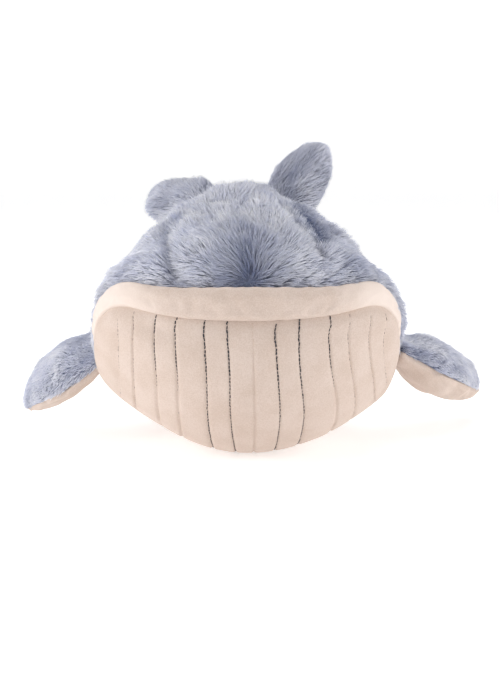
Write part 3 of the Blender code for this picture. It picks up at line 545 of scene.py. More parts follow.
@dataclass(frozen=True)
class FloorFinish:
    """Pale matt floor."""

    name: str = "studio_floor"

    def build(self) -> bpy.types.Material:
        """Make the material."""
        tree = Tree(self.name)
        cloud = tree.grain(0.6, 2.0)
        reach = tree.node("ShaderNodeVectorMath", {"operation": "LENGTH"}, {0: tree.place})
        far = Term(tree, reach.outputs["Value"])
        glow = tree.mix((0.66, 0.66, 0.66), (1.0, 1.0, 1.0), far.ramp(1.6, 3.4))
        return tree.set(Base_Color=tree.mix(linear(243, 243, 244), linear(247, 247, 247), cloud), Roughness=0.9,
                        Specular_IOR_Level=0.1, Emission_Color=glow, Emission_Strength=0.64)


@dataclass(frozen=True)
class WhaleForm:
    """The whale's body and tail as upright sections along y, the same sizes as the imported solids."""

    half_width: float = 0.146
    widest_y: float = -0.040
    front_length: float = 0.112
    front_bluntness: float = 2.4
    joint_y: float = 0.165
    joint_height: float = 0.133
    root_half_width: float = 0.045
    mouth_height: float = 0.146
    head_height: float = 0.237
    head_top_y: float = -0.020
    brow_bluntness: float = 1.75
    throat_low_y: float = -0.055
    belly_end_y: float = 0.034
    throat_bluntness: float = 2.05
    back_lean: float = 1.50
    belly_lean: float = 1.5
    arch: float = 0.005
    arch_run: float = 0.030
    corner_drop: float = 0.077
    corner_start: float = 0.031
    corner_run: float = 0.115
    rise_start_y: float = 0.020
    draw: float = 0.011
    draw_half_height: float = 0.013
    draw_end_y: float = 0.130
    tail_half_width: float = 0.052
    tail_end_half_width: float = 0.030
    tail_end_half_height: float = 0.021
    tail_reach: float = 0.128
    tail_rise: float = 0.065
    tail_aside: float = 0.003
    tail_bluntness: float = 5.0
    tail_taper: float = 0.80

    @property
    def nose_y(self) -> float:
        """The y of the nose."""
        return self.widest_y - self.front_length

    @property
    def end_y(self) -> float:
        """The y of the tail's end."""
        return self.joint_y + self.tail_reach

    def seam(self, y: Array) -> Array:
        """Height of the side seam: the mouth line, its drop at the corners, then a rise to the tail."""
        arch = self.arch * settle((y - self.nose_y) / self.arch_run)
        drop = self.corner_drop * settle((y - self.nose_y - self.corner_start) / self.corner_run)
        low = self.mouth_height + self.arch - self.corner_drop
        rise = (self.joint_height - low) * settle((y - self.rise_start_y) / (self.joint_y - self.rise_start_y))
        return self.mouth_height + arch - drop + rise

    def body_width(self, y: Array) -> Array:
        """Half width of the body: a superellipse in front and an eased taper behind."""
        ahead = np.clip((self.widest_y - y) / self.front_length, 0.0, 1.0)
        front = self.half_width * (1.0 - ahead**self.front_bluntness) ** (1.0 / self.front_bluntness)
        behind = settle((y - self.widest_y) / (self.joint_y - self.widest_y))
        return np.where(y < self.widest_y, front, blend(self.half_width, self.root_half_width, behind))

    def top(self, y: Array) -> Array:
        """Height of the back."""
        climb = quarter((y - self.nose_y) / (self.head_top_y - self.nose_y), self.brow_bluntness)
        fall = settle((y - self.head_top_y) / (self.joint_y - self.head_top_y))
        crown = blend(self.head_height, self.joint_height + self.root_half_width, fall)
        return blend(self.seam(y), crown, climb)

    def bottom(self, y: Array) -> Array:
        """Height of the throat and belly."""
        dip = quarter((y - self.nose_y) / (self.throat_low_y - self.nose_y), self.throat_bluntness)
        lift = settle((y - self.belly_end_y) / (self.joint_y - self.belly_end_y))
        return blend(self.seam(y), blend(-0.0005, self.joint_height - self.root_half_width, lift), dip)

    def lean_up(self, y: Array) -> Array:
        """How much the section leans in above the seam."""
        return blend(self.back_lean, 1.0, settle((y - self.head_top_y) / (self.joint_y - self.head_top_y)))

    def lean_down(self, y: Array) -> Array:
        """How much the section leans in below the seam."""
        return blend(self.belly_lean, 1.0, settle((y - self.belly_end_y) / (self.joint_y - self.belly_end_y)))

    def ring(self, y: Array, turn: Array) -> Array:
        """Points of a section: x = w cos t, and up the section reach sin t to the power of its lean.

        Args:
            y: stations down the grid.
            turn: angles across it, 0 on the right seam, a quarter turn on the back.

        Returns:
            The points, the tail's sections square to its curved middle line.
        """
        share = np.clip((y - self.joint_y) / self.tail_reach, 0.0, 1.0)
        slope = unit(np.stack(np.broadcast_arrays(0.0, self.tail_reach, 2.0 * self.tail_rise * share), -1))
        up = np.stack([0.0 * share, -slope[..., 2], slope[..., 1]], -1)
        on_tail = y >= self.joint_y
        middle = np.where(on_tail, self.joint_height + self.tail_rise * share**2, self.seam(y))
        step = (self.tail_half_width - self.root_half_width) * settle((y - 0.10) / (self.joint_y - 0.10))
        closing = np.sqrt(np.clip(1.0 - share**self.tail_bluntness, 0.0, 1.0))
        taper = settle(share / self.tail_taper)
        tail_width = blend(self.tail_half_width, self.tail_end_half_width, taper) * closing
        tail_height = blend(self.tail_half_width, self.tail_end_half_height, taper) * closing
        width = np.where(on_tail, tail_width, self.body_width(y) + step)
        rise = np.where(on_tail, tail_height, self.top(y) - self.seam(y) + step)
        fall = np.where(on_tail, tail_height, self.seam(y) - self.bottom(y) + step)
        height = np.where(np.sin(turn) >= 0.0, rise * np.abs(np.sin(turn)) ** self.lean_up(y),
                          -fall * np.abs(np.sin(turn)) ** self.lean_down(y))
        centre = np.stack(np.broadcast_arrays(self.tail_aside * share**2, y, middle), -1)
        across = np.stack(np.broadcast_arrays(width * np.cos(turn), 0.0, 0.0), -1)
        return self.draw_in(centre + across + height[..., None] * up)

    def throat_point(self, x: Array, y: Array) -> Array:
        """The point of the throat straight under (x, y), drawn in at the seam."""
        across = np.clip(np.abs(x) / np.maximum(self.body_width(y), 1e-9), 0.0, 1.0)
        fall = np.sqrt(1.0 - across**2) ** self.lean_down(y)
        z = self.seam(y) - (self.seam(y) - self.bottom(y)) * fall
        return self.draw_in(np.stack(np.broadcast_arrays(x, y, z), -1))

    def level(self, x: Array, y: Array, z: Array) -> Array:
        """Below 0 inside the body and above 0 outside."""
        upper = z > self.seam(y)
        lean = np.where(upper, self.lean_up(y), self.lean_down(y))
        reach = np.where(upper, self.top(y), self.bottom(y)) - self.seam(y)
        along = (z - self.seam(y)) / np.where(np.abs(reach) < 1e-9, 1e-9, reach)
        across = np.abs(x) / np.maximum(self.body_width(y), 1e-9)
        return across**2 + np.clip(along, 0.0, None) ** (2.0 / lean) - 1.0

    def plan_shares(self, angle: Array) -> tuple[Array, Array]:
        """Shares of the half width and front length at a plan angle from the nose."""
        across, ahead = np.abs(np.sin(angle)), np.cos(angle).clip(0.0)
        size = (across**self.front_bluntness + ahead**self.front_bluntness) ** (1.0 / self.front_bluntness)
        return across / size, ahead / size

    def outward(self, angle: Array) -> Array:
        """Level way out of the body's right side at a plan angle."""
        across, ahead = self.plan_shares(angle)
        power = self.front_bluntness - 1.0
        return unit(np.stack([across**power / self.half_width, -(ahead**power) / self.front_length,
                              np.zeros_like(across)], -1))

    def draw_in(self, points: Array) -> Array:
        """Pull the cloth in along the side seam by a bell curve of the height from it."""
        x, y, z = points[..., 0], points[..., 1], points[..., 2]
        angle = np.arctan2(np.abs(x) / self.half_width, np.maximum(self.widest_y - y, 0.0) / self.front_length)
        path_y = np.where(y < self.widest_y, self.widest_y - self.front_length * self.plan_shares(angle)[1], y)
        above = (z - self.seam(path_y)) / self.draw_half_height
        fade = 1.0 - settle((y - self.rise_start_y) / (self.draw_end_y - self.rise_start_y))
        side = np.stack([np.where(x < 0.0, -1.0, 1.0), np.ones_like(x), np.ones_like(x)], -1)
        return points - self.outward(angle) * side * (self.draw * fade * np.exp(-above * above))[..., None]

    def level_point(self, angle: Array, z: Array) -> Array:
        """The body's surface at a plan angle and height, found by halving between inside and outside."""
        across, ahead = self.plan_shares(angle)
        near, far = np.full_like(z, 0.5), np.full_like(z, 1.02)
        for _ in range(32):
            middle = (near + far) / 2.0
            inside = self.level(*self.plan_point(middle, across, ahead), z) < 0.0
            near, far = np.where(inside, middle, near), np.where(inside, far, middle)
        return self.draw_in(np.stack([*self.plan_point(near, across, ahead), z], -1))

    def plan_point(self, reach: Array, across: Array, ahead: Array) -> tuple[Array, Array]:
        """The x and y at a share of the reach out from the middle of the widest section."""
        return reach * self.half_width * across, self.widest_y - reach * self.front_length * ahead


@dataclass(frozen=True)
class Coat:
    """A pile of tapering three-sided strands that lie over a ground."""

    length: float = 0.0165
    half_width: float = 0.00036
    per_square_metre: float = 800000.0
    lift: float = 0.42
    most_in_a_piece: int = 18000
    seed: int = 11
    tufts: tuple = ((0.0060, 0.36), (0.0140, 0.26))

    def grow(self, name: str, ground: Array, part: "Furry") -> list[bpy.types.Object]:
        """Grow the strands.

        A strand leaves the ground at its root, bends at its middle and lies along the comb, and its tip is
        drawn towards the middle of the tuft that it belongs to, a cell of a bent lattice.

        Args:
            name: what the pieces are called, before their numbers.
            ground: grid of points that the roots stand on.
            part: says how the pile is brushed, kept, cut and shaded at each root.

        Returns:
            The new pieces.
        """
        rng = np.random.default_rng(self.seed)
        ways = normals_of(ground)
        side, down = ground[:-1, 1:] - ground[:-1, :-1], ground[1:, :-1] - ground[:-1, :-1]
        area = np.linalg.norm(np.cross(side, down), axis=-1)
        middle = (ground[:-1, :-1] + ground[1:, 1:]) / 2.0
        wanted = np.cumsum((area * np.clip(part.keep(middle), 0.0, 1.0)).ravel())
        count = int(wanted[-1] * self.per_square_metre)
        picked = (np.arange(count) + rng.random(count)) / count * wanted[-1]
        row, column = np.divmod(np.searchsorted(wanted, picked).clip(0, area.size - 1), area.shape[1])
        a, b = rng.random((count, 1)), rng.random((count, 1))

        def between(grid: Array) -> Array:
            """Mix a grid's four corners round each root."""
            upper = blend(grid[row, column], grid[row, column + 1], a)
            return blend(upper, blend(grid[row + 1, column], grid[row + 1, column + 1], a), b)

        root, out = between(ground), unit(between(ways))
        along = part.comb(root)
        along = unit(along - out * np.sum(along * out, -1, keepdims=True))
        aside = np.cross(out, along)
        swirl = 0.50 * noise(root, 0.021, self.seed + 1) + 0.20 * noise(root, 0.008, self.seed + 2)
        swirl = (swirl + rng.normal(0.0, 0.13, count))[:, None]
        along = along * np.cos(swirl) + aside * np.sin(swirl)
        length = self.length * part.trim(root) * (1.0 + 0.24 * noise(root, 0.011, self.seed + 3))
        length = (length * rng.uniform(0.78, 1.12, count))[:, None]
        lift = self.lift * (1.0 + 0.30 * noise(root, 0.013, self.seed + 4))[:, None]
        lift = lift * rng.uniform(0.80, 1.18, (count, 1))
        bend = root + length * (0.40 * along + 0.85 * lift * out)
        tip = root + length * (np.sqrt(np.clip(1.0 - lift**2, 0.2, 1.0)) * along + lift * out)
        for size, pull in self.tufts:
            toward = self.tuft(root, size) - root
            toward -= out * np.sum(toward * out, -1, keepdims=True)
            tip, bend = tip + toward * pull, bend + toward * pull * 0.35
        tone = 0.5 + 0.40 * self.streak(root, along) + rng.normal(0.0, 0.07, count)
        made = []
        for number, chosen in enumerate(np.array_split(np.arange(count), -(-count // self.most_in_a_piece)), 1):
            parts = (root[chosen] - out[chosen] * 0.0012, bend[chosen], tip[chosen])
            colours = (tone[chosen], part.shade(root[chosen]))
            made.append(self.strands(f"{name}_{number}", parts, out[chosen], colours, part.fur.pile))
        log.info("%s: %d strands in %d pieces", name, count, len(made))
        return made

    def tuft(self, root: Array, size: float) -> Array:
        """The middle of the tuft each root belongs to, a cell of a turned lattice bent by noise."""
        about_x, about_y, about_z = (Matrix.Rotation(angle, 3, axis)
                                     for angle, axis in ((0.7, "X"), (0.5, "Y"), (0.9, "Z")))
        turned = np.array(about_x @ about_y @ about_z)
        bent = np.stack([noise(root, size * 2.2, self.seed + 20 + axis) for axis in range(3)], -1) * size * 0.8
        cell = np.floor((root + bent) @ turned / size) + 0.5
        return cell * size @ turned.T - bent

    def streak(self, root: Array, along: Array) -> Array:
        """Tone in streaks along the comb: noise of places squeezed along the comb's way."""
        squeezed = root - along * np.sum(root * along, -1, keepdims=True) * 0.88
        return noise(squeezed, 0.0052, self.seed + 5) + 0.8 * noise(root, 0.014, self.seed + 6)

    def strands(self, name: str, parts: tuple[Array, Array, Array], out: Array, colours: tuple[Array, Array],
                material: bpy.types.Material) -> bpy.types.Object:
        """One piece of pile.

        Each strand has a ring of three points at its root, another at its bend and one point at its tip, and
        its faces get a cell of their own in the OFBake map.

        Args:
            name: the piece's name.
            parts: roots, bends and tips.
            out: way out of the ground at each root.
            colours: how pale each strand is, and how deep its colour is, with soft patches and painted shade.
            material: its finish.

        Returns:
            The new object.
        """
        root, bend, tip = parts
        count = len(root)
        ahead = unit(tip - root)
        side = unit(np.cross(out, ahead))
        rise = np.cross(ahead, side)
        turns = math.pi / 2.0 + np.arange(3) * 2.0 * math.pi / 3.0
        ring = (np.cos(turns)[:, None] * side[:, None] + 0.6 * np.sin(turns)[:, None] * rise[:, None])
        low = root[:, None] + ring * self.half_width
        high = bend[:, None] + ring * self.half_width * 0.85
        vertices = np.concatenate([low, high, tip[:, None]], axis=1)
        corner, after = np.arange(3), (np.arange(3) + 1) % 3
        faces = np.concatenate([[[0, 2, 1]], np.stack([corner, after, after + 3], -1),
                                np.stack([corner, after + 3, corner + 3], -1),
                                np.stack([corner + 3, after + 3, np.full(3, 6)], -1)])
        across = np.stack([corner, corner + 1], -1) / 3.0
        low_right = np.stack([across[:, 0], across[:, 1], across[:, 1]], -1)
        low_left = np.stack([across[:, 0], across[:, 1], across[:, 0]], -1)
        peak = np.stack([across[:, 0], across[:, 1], across.mean(1)], -1)
        u = np.concatenate([[[0.0, 0.1, 0.0]], low_right, low_left, peak])
        v = np.concatenate([[[0.0, 0.0, 0.05]], np.tile([0.0, 0.0, 0.5], (3, 1)),
                            np.tile([0.0, 0.5, 0.5], (3, 1)), np.tile([0.5, 0.5, 1.0], (3, 1))])
        loops = (np.arange(count)[:, None] * 7 + faces.ravel()).ravel()
        mesh = bpy.data.meshes.new(name)
        mesh.vertices.add(count * 7)
        mesh.vertices.foreach_set("co", vertices.ravel())
        mesh.loops.add(count * 30)
        mesh.loops.foreach_set("vertex_index", loops.astype(np.int32))
        mesh.polygons.add(count * 10)
        mesh.polygons.foreach_set("loop_start", np.arange(count * 10, dtype=np.int32) * 3)
        mesh.update(calc_edges=True)
        wide = math.ceil(math.sqrt(count))
        cell = np.stack(np.divmod(np.arange(count), wide), -1)[:, None]
        spot = (cell + 0.08 + 0.84 * np.stack([u.ravel(), v.ravel()], -1)) / wide
        mesh.uv_layers.new(name="OFBake").data.foreach_set("uv", spot.ravel())
        # each strand's place along it, its tone, and its depth of colour with soft patches and painted shade
        values = {"along": np.tile([0.0, 0.0, 0.0, 0.55, 0.55, 0.55, 1.0], count),
                  "tone": np.repeat(colours[0], 7), "shade": np.repeat(colours[1], 7)}
        for key, value in values.items():
            mesh.attributes.new(key, "FLOAT", "POINT").data.foreach_set("value", value.astype(np.float32))
        return piece(name, mesh, material)


@dataclass(frozen=True)
class Fur:
    """What the furry parts share: the finishes of their pile and of the ground under it."""

    pile: bpy.types.Material
    ground: bpy.types.Material


class Furry:
    """A part with a pile, which says at each root how it is brushed, kept, cut and shaded."""

    fur: Fur

    def comb(self, root: Array) -> Array:
        """The way that the pile is brushed."""
        raise NotImplementedError

    def keep(self, root: Array) -> Array:
        """The share of the strands that grow: all of them."""
        return np.ones(root.shape[:-1])

    def trim(self, root: Array) -> Array:
        """Each strand's length as a share."""
        raise NotImplementedError

    def shade(self, root: Array) -> Array:
        """How deep the colour is: soft patches, and painted shade where a part has it."""
        raise NotImplementedError


@dataclass
class Back(Furry):
    """The furry back, from the mouth over the head to where the tail starts."""

    form: WhaleForm
    fur: Fur
    depth: float = 0.0064
    seam_depth: float = 0.0020
    tuck: float = 0.10
    end_y: float = 0.128
    fold_depth: float = 0.0125
    fold_width: float = 0.0056
    folds: tuple = (((0.022, 0.241), (0.034, 0.228), (0.0510, 0.208), (0.0630, 0.192)),
                    ((-0.068, 0.196), (-0.0640, 0.184), (-0.0600, 0.170)))
    fold_strengths: tuple = (1.0, 0.45)
    nose: Colour = (0.0, -0.150, 0.1725)
    eye_y: float = -0.022
    eye_height: float = 0.1222
    eye_clear: float = 0.0075
    eye_side: float = 0.09
    mouth_end_y: float = -0.040
    front_start_y: float = -0.115
    front_run: float = 0.045

    def build(self) -> None:
        """Build the ground, then grow the pile over it."""
        ahead = np.linspace(0.0, 1.0, 46)[:-1] ** 2
        stations = np.concatenate([blend(self.form.nose_y, self.form.widest_y, ahead),
                                   np.linspace(self.form.widest_y, self.end_y, 70)])[:, None]
        turns = np.linspace(-self.tuck, math.pi + self.tuck, 151)[None, :]
        outer = self.form.ring(stations, turns)
        ways = normals_of(outer)
        edge = np.minimum(turns, math.pi - turns)
        depth = blend(self.seam_depth, self.depth, settle(edge / 0.30))
        depth = depth + 0.0024 * noise(outer, 0.036, 3) + 0.0012 * noise(outer, 0.016, 4)
        depth = depth + self.fold_depth * self.near_fold(outer)
        ground = outer - ways * depth[..., None]
        skin = slab("back_fur_ground", ground, ground - ways * 0.0020, self.fur.ground)
        fix(skin, "body", "back_fur", "back_cover_left", "back_cover_right", "body_stuffing", fill=0.85)
        kept = ground[:, 6:-6]
        for tuft in Coat().grow("back_fur", kept, self):
            fix(tuft, "body", "back_fur")

    def near_fold(self, points: Array) -> Array:
        """How near a point lies to the fold in the fur, seen from in front: a bell curve of its distance."""
        flat = points[..., [0, 2]]
        near = np.zeros(points.shape[:-1])
        for line, strength in zip(np.array(self.folds, dtype=object), self.fold_strengths):
            least = np.full(points.shape[:-1], 1.0)
            for start, end in zip(np.array(line), np.array(line[1:])):
                way = end - start
                share = np.clip(((flat - start) @ way) / (way @ way), 0.0, 1.0)
                least = np.minimum(least, np.linalg.norm(flat - start - share[..., None] * way, axis=-1))
            near = np.maximum(near, strength * np.exp(-((least / self.fold_width) ** 2)))
        return near * (1.0 - settle((points[..., 1] + 0.030) / 0.060))

    def comb(self, root: Array) -> Array:
        """The pile is brushed away from the nose, and straight back behind the head."""
        away = unit(root - np.array(self.nose))
        return away + np.array([0.0, 0.6, 0.0]) * settle((root[..., 1:2] + 0.04) / 0.10)

    def keep(self, root: Array) -> Array:
        """No pile behind the lip or on the eyes."""
        low = root[..., 2] < self.form.seam(root[..., 1]) + blend(0.0020, 0.0072, self.in_front(root))
        hidden = low & (root[..., 1] < self.mouth_end_y)
        return 1.0 - (hidden | (self.from_eye(root) < self.eye_clear))

    def in_front(self, root: Array) -> Array:
        """How far a root is in front: 1 at the nose and 0 from the cheeks back."""
        return 1.0 - settle((root[..., 1] - self.front_start_y) / self.front_run)

    def from_eye(self, root: Array) -> Array:
        """How far a root is from the eye on its side, seen from that side."""
        far = np.hypot(root[..., 1] - self.eye_y, root[..., 2] - self.eye_height)
        return np.where(np.abs(root[..., 0]) > self.eye_side, far, 1.0)

    def trim(self, root: Array) -> Array:
        """The pile is shorter at the mouth, the seam and the eyes."""
        above = root[..., 2] - self.form.seam(root[..., 1])
        front = self.in_front(root)
        grown = blend(blend(0.86, 0.72, front), 1.0, settle((above - 0.004) / blend(0.012, 0.030, front)))
        near_eye = 1.0 - settle(self.from_eye(root) / (1.9 * self.eye_clear))
        return grown * (1.0 - 0.5 * near_eye) * (1.0 - 0.65 * self.near_fold(root))

    def shade(self, root: Array) -> Array:
        """Painted shade, deep and blue: at the parting in the middle of the brow, in a slit down it, in the
        fold and on the head's far side beyond the fold, over soft deeper patches.
        """
        # painted shade in the middle of the brow, where the pile parts
        brow_shade = np.exp(-((root[..., 0] / 0.029) ** 2)) * (1.0 - settle((root[..., 2] - 0.165) / 0.065))
        front = 1.0 - settle((root[..., 1] + 0.09) / 0.06)
        wander = root[..., 0] + 0.005 * noise(root, 0.016, 17)
        # painted shade in a dark slit down the parting
        slit_shade = np.exp(-((wander / 0.0050) ** 2)) * settle((0.215 - root[..., 2]) / 0.03) * 0.45
        patches = 0.32 * np.clip(noise(root, 0.026, 19), 0.0, 1.0)
        # painted shade over the head's far side, away from the stronger left light
        far_side_shade = 0.34 * settle((root[..., 0] - 0.050) / 0.035)
        # painted shade at the brow, in the slit, on the far side and in the fold
        deep = (0.78 * brow_shade + slit_shade + far_side_shade) * front + 1.10 * self.near_fold(root)
        return np.clip(patches + deep, 0.0, 1.3)


@dataclass
class Tail(Furry):
    """The tail stock: fur above and velour below, over the joint that it bends at."""

    form: WhaleForm
    fur: Fur
    velour: bpy.types.Material
    start_y: float = 0.112
    depth: float = 0.0085
    seam_depth: float = 0.0025
    velour_start_y: float = 0.108
    bend_start: Colour = (0.0, 0.120, 0.133)
    bend_end: Colour = (0.0, 0.212, 0.143)

    def build(self) -> None:
        """Build the ground, the pile and the velour underside."""
        shares = np.sin(np.linspace(0.0, math.pi / 2.0, 60))
        stations = blend(self.start_y, self.form.end_y, shares)[:, None]
        turns = np.linspace(-0.06, math.pi + 0.06, 73)[None, :]
        outer = self.form.ring(stations, turns)
        ways = normals_of(outer)
        depth = blend(self.seam_depth, self.depth, settle(np.minimum(turns, math.pi - turns) / 0.4))
        depth = depth + 0.0012 * noise(outer, 0.025, 8)
        ground = outer - ways * depth[..., None]
        skin = slab("tail_fur_ground", ground, ground - ways * 0.0020, self.fur.ground)
        self.join(skin)
        declare(skin, "back_fur", "tail_top_cover", "tail_stuffing", fill=0.8)
        for tuft in Coat(length=0.0160, seed=47).grow("tail_fur", ground[:-1, 2:-2], self):
            self.join(tuft)
            declare(tuft, "back_fur")
        below = np.linspace(math.pi, 2.0 * math.pi, 49)[None, :]
        stations = blend(self.velour_start_y, self.form.end_y, shares)[:, None]
        under = self.form.ring(stations, below)
        inwards = normals_of(under)
        sunk = 0.0016 * (1.0 - settle((stations - 0.120) / 0.025)) + 0.0006 * noise(under, 0.02, 9)
        under = under - inwards * sunk[..., None]
        cloth = slab("tail_velour", under, under - inwards * 0.0030, self.velour)
        self.join(cloth)
        declare(cloth, "cream_velour", "tail_under_cover", fill=0.8)

    def join(self, thing: bpy.types.Object) -> None:
        """Keep a piece's placement in its own mesh."""
        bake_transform(thing)

    def comb(self, root: Array) -> Array:
        """The pile is brushed along the tail."""
        share = np.clip((root[..., 1] - self.form.joint_y) / self.form.tail_reach, 0.0, 1.0)
        return np.stack([0.0 * share, np.ones_like(share), 1.2 * share], -1)

    def trim(self, root: Array) -> Array:
        """The pile is shorter at the tail's end."""
        return 1.0 - 0.35 * settle((root[..., 1] - 0.24) / 0.05)

    def shade(self, root: Array) -> Array:
        """The tail's pile has soft darker patches."""
        return 0.20 * np.clip(noise(root, 0.02, 51), 0.0, 1.0)


@dataclass(frozen=True)
class LeafForm:
    """A flipper or fluke about its root: chord along x, span along y and thickness along z.

    Its chord is turned by the root's twist and, past the swell, by its own. It stands ahead and rises by so
    much, and the front of its root laps in under the body.
    """

    origin: Colour
    chord_way: Colour
    span_way: Colour
    root_chord: float
    chord: float
    root_thickness: float
    thickness: float
    length: float
    sweep: float
    bluntness: float = 3.0
    twist: float = 0.0
    swell: float = 0.32
    ahead: float = 0.0
    root_twist: float = 0.0
    lap: float = 0.0
    rise: float = 0.0

    def axes(self) -> Array:
        """The leaf's own axes as rows: chord, span and the way up out of both."""
        chord, span = np.array(self.chord_way), np.array(self.span_way)
        up = np.cross(chord, span)
        return np.stack([chord, span, up if up[2] > 0.0 else -up])

    def stations(self) -> Array:
        """Shares of the span from the root to the tip, close together at the tip."""
        return np.sin(np.linspace(0.0, math.pi / 2.0, 34))[:, None]

    def face(self, turns: Array, edge_inset: Array, inset: Array) -> Array:
        """Part of the leaf's skin.

        Four rings round off its root, and the other rows go to its tip, where the closing share is the root of
        1 less the span's share to the power of the bluntness. Columns go round it: the chord by the cosine of
        their angle, and the thickness by its sine, above at positive angles and below at negative ones.

        Args:
            turns: the angles in rows and columns, 0 on the rear edge and a half turn on the front one.
            edge_inset: how far its outline is drawn in.
            inset: how far its thickness is drawn in.

        Returns:
            The points, placed on the whale.
        """
        edge_inset, inset = (np.broadcast_to(value, turns.shape) for value in (edge_inset, inset))
        bends = np.radians([0.0, 22.0, 45.0, 68.0])[:, None]
        turn, edge = turns[:4], edge_inset[:4]
        turned = math.radians(self.root_twist)
        flat = (self.root_chord - edge) * np.cos(turn)
        raised = (self.root_thickness - inset[:4]) * np.sin(turn) * np.sin(bends)
        root = np.stack([flat * math.cos(turned) - raised * math.sin(turned) - self.ahead,
                         -(self.root_thickness - edge) * np.abs(np.sin(turn)) * np.cos(bends)
                         - self.lap * np.sin(turn / 2.0) ** 4,
                         flat * math.sin(turned) + raised * math.cos(turned) + self.rise], -1)
        turn, edge = turns[4:], edge_inset[4:]
        along = self.stations()
        closing = np.sqrt(np.clip(1.0 - along**self.bluntness, 0.0, 1.0))
        swell = settle(along / self.swell)
        chord = (blend(self.root_chord, self.chord, swell) - edge) * closing
        thickness = (blend(self.root_thickness, self.thickness, swell) - inset[4:]) * closing
        turned = np.radians(blend(self.root_twist, self.twist, swell))
        flat, raised = chord * np.cos(turn), thickness * np.sin(turn)
        span = np.stack([self.sweep * along**1.5 + flat * np.cos(turned) - raised * np.sin(turned) - self.ahead,
                         (self.length - edge) * along - self.lap * (1.0 - swell) * np.sin(turn / 2.0) ** 4,
                         flat * np.sin(turned) + raised * np.cos(turned) + self.rise], -1)
        return np.concatenate([root, span]) @ self.axes() + np.array(self.origin)


@dataclass
class Leaf(Furry):
    """A flipper or a fluke: velour below, and fur above that hangs over the seam.

    The wraps are the angles by which the fur reaches round its edges: the rear one, the front one, and the
    front one at the root.
    """

    name: str
    form: LeafForm
    fur: Fur
    velour: bpy.types.Material
    wraps: tuple[float, float, float]
    depth: float = 0.0072
    edge: float = 0.0032
    border_depth: float = 0.0034
    pile_length: float = 0.0130
    root_trim: float = 1.15
    pressure: float = 5.0
    deep: float = 0.0
    seed: int = 61

    def build(self) -> None:
        """Build the velour pad, the ground over it and the pile."""
        above, below = self.turns(math.pi), self.turns(-math.pi)
        from_border = np.minimum(below[:, :1] - below, below - below[:, -1:])
        sunk = self.border_depth * (1.0 - settle(from_border / 0.35))
        under = self.form.face(below, sunk, 0.0008 + sunk)
        lining = self.form.face(above, 0.0030 + self.border_depth, self.depth + 0.0035)
        wrinkles = 0.0010 * noise(under, 0.012, self.seed) + 0.0006 * noise(under, 0.006, self.seed + 1)
        pad = slab(f"{self.name}_velour", under + normals_of(under) * wrinkles[..., None], lining, self.velour)
        hidden = np.concatenate([part.reshape(-1, 3)
                                 for part in (lining, under[:6], under[:, :2], under[:, -2:])])
        spots = places_of(pad)
        root = self.own(spots)[:, 1] < 0.006
        puff(pad, found_in(spots, hidden, 5) | root, self.pressure, 0.0042, 0.03)
        finish_cloth(pad, 0.0)
        fix(pad, self.name, "cream_velour", f"{self.name}_under_cover", f"{self.name}_stuffing", fill=0.8)
        inwards = 1.0 - settle(np.minimum(above - above[:, :1], above[:, -1:] - above) / 0.5)
        ground = self.form.face(above, self.edge, self.depth - 0.0022 * inwards)
        out = normals_of(ground)
        ground = ground + out * (0.0010 * noise(ground, 0.016, self.seed + 2))[..., None]
        skin = slab(f"{self.name}_fur_ground", ground, ground - out * 0.0018, self.fur.ground)
        fix(skin, self.name, "back_fur", f"{self.name}_top_cover", fill=0.8)
        coat = Coat(length=self.pile_length, seed=self.seed + 5, lift=0.34,
                    tufts=((0.0050, 0.24), (0.0110, 0.16)))
        for tuft in coat.grow(f"{self.name}_fur", ground, self):
            fix(tuft, self.name, "back_fur")

    def turns(self, half: float) -> Array:
        """Angles from the fur's rear border to its front one, which lies further under at the root.

        Args:
            half: a half turn, above 0 over the fur and below 0 over the velour.

        Returns:
            The angles, in rows along the span and columns round it.
        """
        rear, front, root_front = self.wraps
        along = np.concatenate([np.zeros((4, 1)), self.form.stations()])
        end = half + blend(root_front, front, settle(along / 0.85))
        return (end + rear) * np.linspace(0.0, 1.0, 45) - rear

    def own(self, root: Array) -> Array:
        """Places in the leaf's own axes."""
        return (root - np.array(self.form.origin)) @ self.form.axes().T

    def comb(self, root: Array) -> Array:
        """The pile is brushed from the root to the tip and a little out over the edges."""
        here = self.own(root)
        across = (here[..., 0] - self.form.sweep * np.clip(here[..., 1] / self.form.length, 0.0, 1.0) ** 1.5)
        share = np.clip(across / self.form.chord, -1.0, 1.0)
        way = np.stack([0.9 * share * np.abs(share) + 0.12, np.ones_like(share), np.full_like(share, -0.1)], -1)
        return way @ self.form.axes()

    def trim(self, root: Array) -> Array:
        """The pile is shorter towards the seam round the leaf, and cut to length at its root."""
        here = self.own(root)
        tip = 1.0 - 0.30 * settle((here[..., 1] / self.form.length - 0.6) / 0.4)
        high = here[..., 2] + math.tan(self.wraps[1] * 0.8) * 0.5 * self.form.thickness
        root = blend(self.root_trim, 1.0, settle(here[..., 1] / 0.030))
        return blend(0.50, 1.0, settle(high / (0.6 * self.form.thickness))) * tip * root

    def shade(self, root: Array) -> Array:
        """Soft deep patches, a set deepening over the whole leaf, and painted shade by the body, where the leaf
        meets it.
        """
        here = self.own(root)
        patches = 0.50 * np.clip(noise(root, 0.018, self.seed), 0.0, 1.0)
        # painted shade where the leaf meets the body
        return self.deep + patches + 0.3 * (1.0 - settle(here[..., 1] / 0.03))


